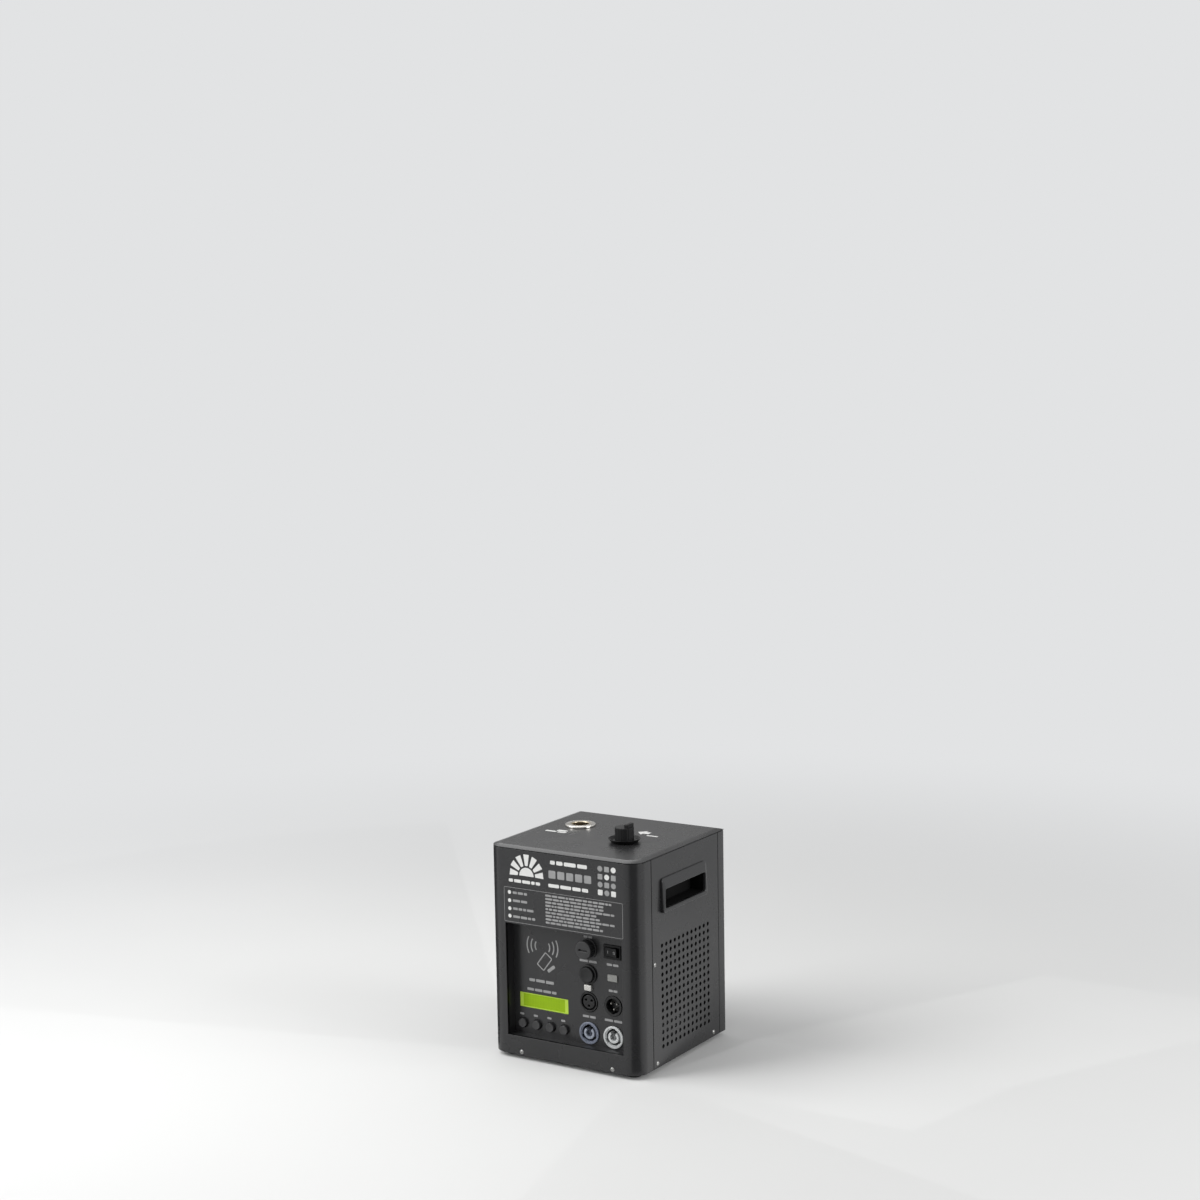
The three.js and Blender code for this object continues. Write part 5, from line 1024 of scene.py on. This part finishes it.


# Painted shade: the pocket is coloured almost black and matte, as the dark inside the hand hole.
pocket_painted_shade = grained("pocket_painted_shade", (7, 7, 7), 0.1, 0.01, 0.0008, 0.00003, (0.7, 0.8), specular=0.15)
for name, sign, axes in (("right", 1, FACING_RIGHT), ("left", -1, FACING_LEFT)):
    x = sign * HANDLE_Y
    outer = rectangle(x, HANDLE_Z, frame_length, HANDLE_HEIGHT, 0.0040, 8)
    mouth = rectangle(x, (GRIP_LOW + GRIP_HIGH) / 2, GRIP_LENGTH, GRIP_HIGH - GRIP_LOW, 0.0030, 6)
    grip_wall = [(0, SEATED)] + rounded(HANDLE_EASE, HANDLE_PROUD, 6)
    leaning = []
    for points, faces in pressed(outer, [mouth], grip_wall):
        share = np.clip((points[:, 1] - GRIP_HIGH) / (HANDLE_Z + HANDLE_HEIGHT / 2 - GRIP_HIGH), 0, 1)
        lean = LEAN * share**LEAN_POWER * np.clip(points[:, 2] / HANDLE_PROUD, 0, 1)
        leaning.append((points - lean[:, None] * [0, 0, 1], faces))
    pocket_z, pocket_height = (GRIP_LOW + POCKET_TOP) / 2, POCKET_TOP - GRIP_LOW
    inner = rectangle(x, pocket_z, GRIP_LENGTH, pocket_height, 0.0015)
    shell = rectangle(x, pocket_z, GRIP_LENGTH + 2 * POCKET_WALL, pocket_height + 2 * POCKET_WALL, 0.0025)
    pocket = pressed(shell, [inner], [(0, -POCKET_DEPTH), (0, 0.0008)])
    pocket += pressed(shell, [], [(0, -POCKET_DEPTH), (0, POCKET_WALL - POCKET_DEPTH)])
    seat = dict(slot="coated_steel", origin=(sign * case_x, 0, 0), axes=axes)
    dress(f"{name}_grip", leaning, coated, node=f"{name}_handle", **seat)
    dress(f"{name}_pocket", pocket, pocket_painted_shade, **seat)


# Cooling fan: a square moulded frame behind the grille, with a screw hole in each corner, and a rotor
# of seven curved blades. Both are black plastic.
FAN_SIZE, FAN_DEPTH, FAN_BORE, FAN_DUCT, FAN_FLANGE = 0.080, 0.025, 0.038, 0.0398, 0.0035
FAN_HOLE, FAN_HOLE_REACH = 0.0022, 0.0357
STRUT_LENGTH, STRUT_WIDTH, STRUT_BACK = 0.0785, 0.005, 0.022
HUB_RADIUS, HUB_BACK, HUB_FACE = 0.0150, 0.0037, 0.0217
BLADE_COUNT, BLADE_ROWS, BLADE_COLUMNS = 7, 10, 12
BLADE_ROOT, BLADE_TIP, BLADE_WALL = 0.014, 0.0355, 0.0012
BLADE_SWEEP, BLADE_TAPER, BLADE_SKEW = 0.75, 0.18, 0.25
BLADE_LOW, BLADE_RISE, BLADE_CAMBER = 0.0055, 0.0130, 0.0018
fan_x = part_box("fan_frame")[0].x
fan_seat = dict(slot="black_plastic", origin=(fan_x, VENT_Y, VENT_Z), axes=FACING_RIGHT)
fan_corner = rectangle(0, 0, FAN_SIZE, FAN_SIZE, 0.004)
fan_cuts = [circle(FAN_BORE, steps=96)]
fan_cuts += [circle(FAN_HOLE, u * FAN_HOLE_REACH, v * FAN_HOLE_REACH, 24) for u in (-1, 1) for v in (-1, 1)]
housing = pressed(fan_corner, fan_cuts, [(0, 0.0), (0, FAN_FLANGE)])
housing += pressed(fan_corner, fan_cuts, [(0, FAN_DEPTH - FAN_FLANGE), (0, FAN_DEPTH)])
duct_wall = [(0, FAN_FLANGE - 0.0005), (0, STRUT_BACK)]
housing += pressed(circle(FAN_DUCT, steps=96), [circle(FAN_BORE, steps=96)], duct_wall)
strut_wall = [(0, STRUT_BACK), (0, FAN_DEPTH)]
housing += pressed(rectangle(0, 0, STRUT_LENGTH, STRUT_WIDTH), [], strut_wall)
housing += pressed(rectangle(0, 0, STRUT_WIDTH, STRUT_LENGTH), [], strut_wall)
housing += pressed(circle(HUB_RADIUS), [circle(0.0028, steps=24)], strut_wall)
dress("fan_housing", housing, black, node="fan_frame", **fan_seat)


def fan_blade(turn):
    """A blade as a grid of radius and chord: the chord angle grows with t, the height falls along it, and
    two such skins a wall apart are closed at the root and at the tip."""
    rows, columns = np.linspace(BLADE_ROOT, BLADE_TIP, BLADE_ROWS), np.linspace(0, 1, BLADE_COLUMNS)
    radius, t = np.meshgrid(rows, columns, indexing="ij")
    out = (radius - BLADE_ROOT) / (BLADE_TIP - BLADE_ROOT)
    angle = turn + BLADE_SWEEP * t * (1 - BLADE_TAPER * out) + BLADE_SKEW * out
    height = BLADE_LOW + BLADE_RISE * (1 - t) + BLADE_CAMBER * np.sin(np.pi * t)
    skin = np.stack([radius * np.cos(angle), radius * np.sin(angle), height], -1)
    other = skin[:, ::-1] + [0, 0, BLADE_WALL]
    points, faces = patch(np.concatenate([skin, other], 1), around=True)
    count = 2 * BLADE_COLUMNS
    root = np.array([[k, k + 1, count - 2 - k, count - 1 - k] for k in range(BLADE_COLUMNS - 1)])
    return points, np.concatenate([faces, root, root + (BLADE_ROWS - 1) * count])


blades = [fan_blade(i * 2 * np.pi / BLADE_COUNT) for i in range(BLADE_COUNT)]
hub_outer = [(HUB_RADIUS, HUB_BACK, 0.0020), (HUB_RADIUS, HUB_FACE, 0.0005)]
hub = spun([(0, HUB_BACK, 0), *hub_outer, (0, HUB_FACE, 0)])
dress("fan_wheel", blades + [hub], black, body="fan_rotor", node="fan_rotor", **fan_seat)


# Rear sheet: a flat coated plate with short returns bent round both sides, held by four screws near
# its corners.
REAR_BEND = 0.0022
REAR_SCREWS = [(x, case_low + rise) for x in (-0.088, 0.088) for rise in (0.012, 0.228)]
rear_low, rear_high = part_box("rear_panel")
rear_y = rear_high.y
rear_corners = [(case_x, rear_low.y), (case_x, rear_y), (-case_x, rear_y), (-case_x, rear_low.y)]
rear_skin = folded(eased(rear_corners, REAR_BEND, closed=False), [case_low, wall_high])
sheet_piece("rear_sheet", rear_skin, "rear_panel")
screws("rear_screws", REAR_SCREWS, (0, rear_y, 0), FACING_REAR)


# Nozzle: a turned stainless flange let into the lid by its spigot, and the tube under it, both with
# turning marks and a straw-coloured heat tint towards the bore.
NOZZLE_BORE, NOZZLE_RADIUS, SPIGOT, TUBE_RADIUS = 0.010, 0.018, 0.0126, 0.013
FLANGE_CROWN = 0.0040
STEEL, TINT_NEAR, TINT_AWAY = (216, 212, 204), (196, 184, 162), (222, 219, 213)
TINT_END, RING_SCALE, RING_WANDER = 0.55, 420, 0.4
nozzle_low, nozzle_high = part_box("nozzle_ring")
nozzle_middle = centre_of("nozzle_ring")
lid_low, lid_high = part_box("top_plate")
lid_top = lid_high.z
on_lid = lid_top + SEATED


def turned_steel(name, x, y):
    """Bright turned steel: rings of wave texture about the piece's own axis, tinted towards the bore."""
    steel = grained(name, STEEL, 0.04, 0.01, 0.0003, 0.00002, (0.14, 0.26), metallic=1.0)
    tree = steel.node_tree
    centre = added(tree, "ShaderNodeMapping", [("Location", (-x, -y, 0))])
    rings = added(tree, "ShaderNodeTexWave", [("Scale", RING_SCALE), ("Distortion", RING_WANDER)])
    rings.wave_type = "RINGS"
    rings.rings_direction = "Z"
    length = tree.nodes.new("ShaderNodeVectorMath")
    length.operation = "LENGTH"
    flat = tree.nodes.new("ShaderNodeVectorMath")
    flat.operation = "MULTIPLY"
    flat.inputs[1].default_value = (1, 1, 0)
    tint = tone_ramp(tree, 0, TINT_END, colour(TINT_NEAR), colour(TINT_AWAY))
    span = added(tree, "ShaderNodeMapRange", [("From Min", NOZZLE_BORE), ("From Max", NOZZLE_RADIUS)])
    wire(
        tree,
        (tree.nodes["Texture Coordinate"].outputs["Object"], centre.inputs["Vector"]),
        (centre.outputs["Vector"], rings.inputs["Vector"]),
        (centre.outputs["Vector"], flat.inputs[0]),
        (flat.outputs["Vector"], length.inputs[0]),
        (length.outputs["Value"], span.inputs["Value"]),
        (span.outputs["Result"], tint.inputs["Fac"]),
        (tint.outputs["Color"], tree.nodes["Principled BSDF"].inputs["Base Color"]),
        (rings.outputs["Fac"], tree.nodes["Bump"].inputs["Height"]),
    )
    return steel


nozzle_steel = turned_steel("nozzle_steel", nozzle_middle[0], nozzle_middle[1])
nozzle_seat = dict(slot="stainless", origin=(nozzle_middle[0], nozzle_middle[1], 0))
nozzle_flange = spun(
    [
        (NOZZLE_BORE, nozzle_low.z, 0),
        (SPIGOT, nozzle_low.z, 0.0003),
        (SPIGOT, on_lid, 0),
        (NOZZLE_RADIUS, on_lid, 0.0002),
        (NOZZLE_RADIUS, nozzle_high.z - 0.0004, 0.0007),
        (NOZZLE_RADIUS - FLANGE_CROWN, nozzle_high.z, 0.0008),
        (NOZZLE_BORE, nozzle_high.z, 0.0012),
        (NOZZLE_BORE, nozzle_low.z, 0),
    ],
    120,
)
dress("nozzle_flange", [nozzle_flange], nozzle_steel, node="nozzle_ring", **nozzle_seat)
tube_low, tube_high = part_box("nozzle_tube")
tube_inner = [(NOZZLE_BORE, tube_high.z), (NOZZLE_BORE, tube_low.z)]
tube_outer = [(TUBE_RADIUS, tube_low.z), (TUBE_RADIUS, tube_high.z)]
nozzle_pipe = turned(tube_inner[1:] + tube_outer + tube_inner, 96)
dress("nozzle_pipe", [nozzle_pipe], nozzle_steel, node="nozzle_tube", **nozzle_seat)


# Lid: a thick coated plate with a rounded rim, set on the case over a narrow shadow gap, with a lip
# folded down inside it.
LID_SLOPE, LID_DROP, LID_EDGE, LID_CROWN = 0.0075, 0.0019, 0.0026, 1.3
PORT_SPIGOT = 0.0125
feed_middle = centre_of("feed_collar")
lid_plan = np.concatenate([left_bend, right_bend, [(case_x, rear_y), (-case_x, rear_y)]])
lid_plan = lid_plan[np.linalg.norm(lid_plan - np.roll(lid_plan, 1, 0), axis=1) > 1e-6]
lid_under = lid_top - LID_EDGE
rim_corner = (LID_EDGE - LID_DROP) * 0.8
lid_wall = [(0.0003, lid_under), (0, lid_under + 0.0003)]
lid_wall += rounded(rim_corner, lid_top - LID_DROP, 8)[:-1]
for t in np.linspace(0, 1, 9):
    lid_wall.append((rim_corner + (LID_SLOPE - rim_corner) * t, lid_top - LID_DROP * (1 - t) ** LID_CROWN))
outer_path = wound(lid_plan, 1)
lid_holes = [
    wound(circle(SPIGOT + FIT, nozzle_middle[0], nozzle_middle[1], 64), -1),
    wound(circle(PORT_SPIGOT + FIT, feed_middle[0], feed_middle[1], 64), -1),
]
lid_plate = [walled(outer_path, lid_wall)]
lid_plate += [walled(path, [(0, lid_under), (0, lid_top)]) for path in lid_holes]
for inset, level in (lid_wall[0], lid_wall[-1]):
    lid_plate.append(flat_face([offset(outer_path, inset)] + lid_holes, level))
lip_outer = offset(outer_path, SHEET + 0.0003)
lip_inner = offset(outer_path, 2 * SHEET + 0.0003)
lid_plate += pressed(lip_outer, [lip_inner], [(0, lid_low.z), (0, lid_under + 0.0002)])
dress("lid", lid_plate, coated, node="top_plate", slot="coated_steel")


# Filling port: a flared moulded collar over the tank, with a rubber plug under a moulded knob. The
# knob has a raised tab to turn it by.
PORT_BORE, PORT_FOOT, PORT_RIM = 0.011, 0.015, 0.019
PORT_MOUTH, PORT_STEP, PORT_FLOOR = 0.0178, 0.0136, 0.0014
PLUG_RADIUS, PLUG_GROOVE, GROOVE_DROP = 0.0106, 0.0008, 0.0045
KNOB_RADIUS, TAB_HEIGHT, KNOB_EASE, TAB_EASE = 0.011, 0.0043, 0.0010, 0.0009
KNOB_FLUTE, KNOB_FLUTES, FLUTE_POWER = 0.0003, 20, 3
TAB_INSET, TAB_WIDTH, TAB_LENGTH = 0.0049, 0.0050, 0.0140
collar_low, collar_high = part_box("feed_collar")
plug_low, plug_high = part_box("feed_plug")
knob_low, knob_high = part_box("feed_cap")
port_place = (feed_middle[0], feed_middle[1], 0)
knob_black = grained("knob_black", (13, 13, 14), 0.12, 0.008, 0.0005, 0.00002, (0.45, 0.6), specular=0.25)
port_collar = spun(
    [
        (PORT_BORE, collar_low.z, 0),
        (PORT_SPIGOT, collar_low.z, 0.0003),
        (PORT_SPIGOT, on_lid, 0),
        (PORT_FOOT, on_lid, 0.0005),
        (PORT_RIM, collar_high.z, 0.0006),
        (PORT_MOUTH, collar_high.z, 0.0006),
        (PORT_STEP, on_lid + PORT_FLOOR, 0.0010),
        (PORT_BORE, on_lid + PORT_FLOOR, 0.0004),
        (PORT_BORE, collar_low.z, 0),
    ],
    96,
)
dress("port_collar", [port_collar], knob_black, "case", "feed_collar", "black_plastic", port_place)
plug_middle = plug_high.z - GROOVE_DROP
port_plug = spun(
    [
        (0, plug_low.z, 0),
        (PLUG_RADIUS, plug_low.z, 0.0006),
        (PLUG_RADIUS, plug_middle - PLUG_GROOVE, 0.0003),
        (PLUG_RADIUS - PLUG_GROOVE, plug_middle - PLUG_GROOVE, 0.0003),
        (PLUG_RADIUS - PLUG_GROOVE, plug_middle + PLUG_GROOVE, 0.0003),
        (PLUG_RADIUS, plug_middle + PLUG_GROOVE, 0.0003),
        (PLUG_RADIUS, plug_high.z, 0.0004),
        (0, plug_high.z, 0),
    ]
)
dress("port_plug", [port_plug], rubber, "feed_plug", "feed_plug", "black_rubber", port_place)
knob_top = knob_high.z - TAB_HEIGHT
flute = np.arange(180) * (2 * np.pi / 180)
knob_reach = KNOB_RADIUS - KNOB_FLUTE * (0.5 + 0.5 * np.cos(flute * KNOB_FLUTES)) ** FLUTE_POWER
knob_outline = np.stack([knob_reach * np.cos(flute), knob_reach * np.sin(flute)], -1)
knob_wall = [(0.0003, knob_low.z), (0, knob_low.z + 0.0003)] + rounded(KNOB_EASE, knob_top, 5)
knob = pressed(knob_outline, [], knob_wall)
tab = rectangle(KNOB_RADIUS - TAB_INSET, 0, TAB_WIDTH, TAB_LENGTH, 0.0014)
knob += pressed(tab, [], [(0, knob_top - 0.0008)] + rounded(TAB_EASE, knob_high.z, 5))
dress("port_knob", knob, knob_black, "feed_cap", "feed_cap", "black_plastic", port_place)


# Print on the lid: short generic labels beside the nozzle and the filling port, and a plain arrow.
# Each row is its start, end, middle and height, and the seed of its words.
LID_ROWS = [
    (-0.064, -0.038, -0.0060, 0.0058, 90),
    (-0.076, -0.040, -0.0130, 0.0046, 97),
    (0.042, 0.060, 0.0200, 0.0036, 93),
]
ARROW = np.array([(-8, 0), (1, 9), (1, 4), (8, 4), (8, -4), (1, -4), (1, -9)]) * 0.001
ARROW_PLACE = [0.0320, 0.0300]
lid_marks = [dash for row in LID_ROWS for dash in words(*row)]
lid_marks.append(eased(ARROW + ARROW_PLACE, 0.0005, 3))
dress("lid_marks", film(lid_marks), ink, origin=(0, 0, lid_top))


# Inside the case: boards, feeder, tank, barrel, blower and supply, as the frame has them, each with
# the finish of its material.
FINISHES = {
    "steel_sheet": zinc,
    "stainless": nozzle_steel,
    "black_plastic": black,
    "circuit_board": grained("solder_mask", (28, 84, 46), 0.25, 0.004, 0.0006, 0.00004, (0.3, 0.5)),
    "copper": grained("copper_wire", (190, 116, 62), 0.15, 0.003, 0.0003, 0.00001, (0.25, 0.4), metallic=1.0),
    "mineral_wool": grained("mineral_wool", (206, 198, 178), 0.12, 0.004, 0.0006, 0.0003, (0.9, 1.0)),
    "brass": grained("cut_brass", (201, 167, 79), 0.08, 0.006, 0.0003, 0.00001, (0.2, 0.35), metallic=1.0),
    "fuse_glass": grained("fuse_glass", (214, 222, 222), 0.03, 0.01, 0.0006, 0.0, (0.04, 0.08)),
}
glass_tree = FINISHES["fuse_glass"].node_tree
glass_tree.nodes["Principled BSDF"].inputs["Transmission Weight"].default_value = 0.85
for node, piece in nodes.items():
    if not piece.hide_render and node != "base_pan":
        refinish(node, FINISHES[slot_of[node]])


# Floor and sky: a pale floor that fades into the pale sky, and a sky that is full bright to the eye
# and in the gloss, and dimmer where it only lights the machine.
FLOOR_SPAN, FLOOR_DROP = 80, 0.0001
FADE_START, FADE_END = 0.35, 1.8
BACKDROP, SKY_LIGHT = (226, 227, 228), 0.6
floor_points = np.array([(-1, -1, 0), (1, -1, 0), (1, 1, 0), (-1, 1, 0)], float) * FLOOR_SPAN
floor_mesh = bpy.data.meshes.new("floor")
floor_mesh.from_pydata((floor_points - [0, 0, FLOOR_DROP]).tolist(), [], [(0, 1, 2, 3)])
floor = bpy.data.objects.new("floor", floor_mesh)
bpy.context.scene.collection.objects.link(floor)
floor_paint = grained("floor_paint", (212, 212, 211), 0.01, 0.5, 0.004, 0.00005, (0.7, 0.8))
tree = floor_paint.node_tree
away = tree.nodes.new("ShaderNodeVectorMath")
away.operation = "LENGTH"
fade = added(tree, "ShaderNodeMapRange", [("From Min", FADE_START), ("From Max", FADE_END)])
fade.interpolation_type = "SMOOTHSTEP"
haze = added(tree, "ShaderNodeEmission", [("Color", colour(BACKDROP))])
blend = tree.nodes.new("ShaderNodeMixShader")
wire(
    tree,
    (tree.nodes["Texture Coordinate"].outputs["Object"], away.inputs[0]),
    (away.outputs["Value"], fade.inputs["Value"]),
    (fade.outputs["Result"], blend.inputs["Fac"]),
    (tree.nodes["Principled BSDF"].outputs["BSDF"], blend.inputs[1]),
    (haze.outputs["Emission"], blend.inputs[2]),
    (blend.outputs["Shader"], tree.nodes["Material Output"].inputs["Surface"]),
)
floor_mesh.materials.append(floor_paint)
world = bpy.data.worlds.new("studio")
bpy.context.scene.world = world
world.use_nodes = True
tree = world.node_tree
background = tree.nodes["Background"]
background.inputs["Color"].default_value = colour(BACKDROP)
path = tree.nodes.new("ShaderNodeLightPath")
seen = tree.nodes.new("ShaderNodeMath")
seen.operation = "MAXIMUM"
seen_too = tree.nodes.new("ShaderNodeMath")
seen_too.operation = "MAXIMUM"
level = added(tree, "ShaderNodeMapRange", [("To Min", SKY_LIGHT), ("To Max", 1.0)])
wire(
    tree,
    (path.outputs["Is Camera Ray"], seen.inputs[0]),
    (path.outputs["Is Glossy Ray"], seen.inputs[1]),
    (seen.outputs[0], seen_too.inputs[0]),
    (path.outputs["Is Transmission Ray"], seen_too.inputs[1]),
    (seen_too.outputs[0], level.inputs["Value"]),
    (level.outputs["Result"], background.inputs["Strength"]),
)


# Lamps: a large soft one on each side of the camera and one overhead. Only the gloss sees the dark
# card beside each front corner and the three soft boxes, which give the sheets their highlights.
CARD_START, CARD_REACH, CARD_LIFT, CARD_HEIGHT, CARD_STEPS = 0.02, 1.2, 0.001, 0.3, 13
CARDS = {"right_card": (1, 14, 74), "left_card": (-1, 75, 140)}
SOFT_BOXES = {
    "front_soft_box": (
        2.4,
        0.5,
        [
            (-0.85, -1.3, 0.85),
            (-0.85, -0.95, 1.25),
            (-0.85, -0.3, 1.6),
            (-0.9, 0.4, 1.65),
            (-0.95, 1.05, 1.45),
            (-0.95, 1.2, 1.0),
        ],
    ),
    "back_soft_box": (0.36, 0.9, [(-0.80, 1.15, 0.30), (-0.80, 1.20, 0.70), (-0.80, 1.15, 0.95)]),
    "low_soft_box": (0.95, 0.16, [(0.26, -0.08, 0.002), (0.30, 0.10, 0.002), (0.50, 0.50, 0.002)]),
}
LAMPS = {
    "left_lamp": ((-1.5, -1.7, 1.2), 1.0, 20),
    "right_lamp": ((2.1, 0.25, 0.85), 1.0, 23),
    "top_lamp": ((-1.05, -0.75, 1.60), 1.3, 30),
}
LAMP_HEIGHT, AIM = 1.2, (0, 0, 0.13)


def gloss_only(name, rows, paint):
    """A surface through rows of points that nothing but the gloss sees."""
    points, faces = patch(rows)
    mesh = bpy.data.meshes.new(name)
    mesh.from_pydata(points.tolist(), [], faces.tolist())
    mesh.materials.append(paint)
    surface = bpy.data.objects.new(name, mesh)
    bpy.context.scene.collection.objects.link(surface)
    surface.visible_camera = False
    surface.visible_diffuse = False
    surface.visible_transmission = False
    surface.visible_shadow = False


card_black = grained("card_black", (8, 8, 8), 0.02, 0.5, 0.01, 0.0, (0.9, 1.0))
for name, (side, start, end) in CARDS.items():
    fan = np.radians(np.linspace(start, end, CARD_STEPS))
    edge = np.stack([np.sin(fan), -np.cos(fan)], -1)
    inner = [corner_x, corner_y] + edge * (CORNER + CARD_START)
    outer = [corner_x, corner_y] + edge * CARD_REACH
    rows = [
        np.column_stack([line * [side, 1], np.full(CARD_STEPS, z)])
        for line, z in ((inner, CARD_LIFT), (outer, CARD_LIFT), (outer, CARD_HEIGHT))
    ]
    gloss_only(name, np.stack(rows), card_black)
for name, (strength, half_width, line) in SOFT_BOXES.items():
    sides = np.array(line)[None] + np.array([(-half_width, 0, 0), (half_width, 0, 0)])[:, None]
    box_paint = grained(name, (8, 8, 8), 0.02, 0.5, 0.01, 0.0, (0.9, 1.0))
    shader = box_paint.node_tree.nodes["Principled BSDF"]
    shader.inputs["Emission Color"].default_value = colour((255, 255, 255))
    shader.inputs["Emission Strength"].default_value = strength
    gloss_only(name, sides, box_paint)
for name, (place, width, power) in LAMPS.items():
    light = bpy.data.lights.new(name, "AREA")
    light.shape = "RECTANGLE"
    light.size, light.size_y = width, LAMP_HEIGHT
    light.energy = power
    holder = bpy.data.objects.new(name, light)
    holder.location = place
    holder.rotation_mode = "QUATERNION"
    holder.rotation_quaternion = (Vector(AIM) - Vector(place)).to_track_quat("-Z", "Y")
    bpy.context.scene.collection.objects.link(holder)


# Camera: a 67 mm lens on a 36 mm frame, from the front right and a little above the machine.
RIGHTWARDS = (0.84414, 0.53582, -0.01765)
UPWARDS = (-0.05376, 0.11736, 0.99162)
FORWARDS = (-0.53341, 0.83613, -0.12788)
CAMERA_PLACE = (1.36091, -2.13875, 0.84947)
camera_data = bpy.data.cameras.new("camera")
camera = bpy.data.objects.new("camera", camera_data)
bpy.context.scene.collection.objects.link(camera)
camera_data.lens = 67.336
camera_data.sensor_width = 36
columns = np.array([RIGHTWARDS, UPWARDS, -np.array(FORWARDS), CAMERA_PLACE]).T
camera.matrix_world = Matrix([*columns.tolist(), [0, 0, 0, 1]])
bpy.context.scene.camera = camera
bpy.context.scene.view_settings.view_transform = "Standard"
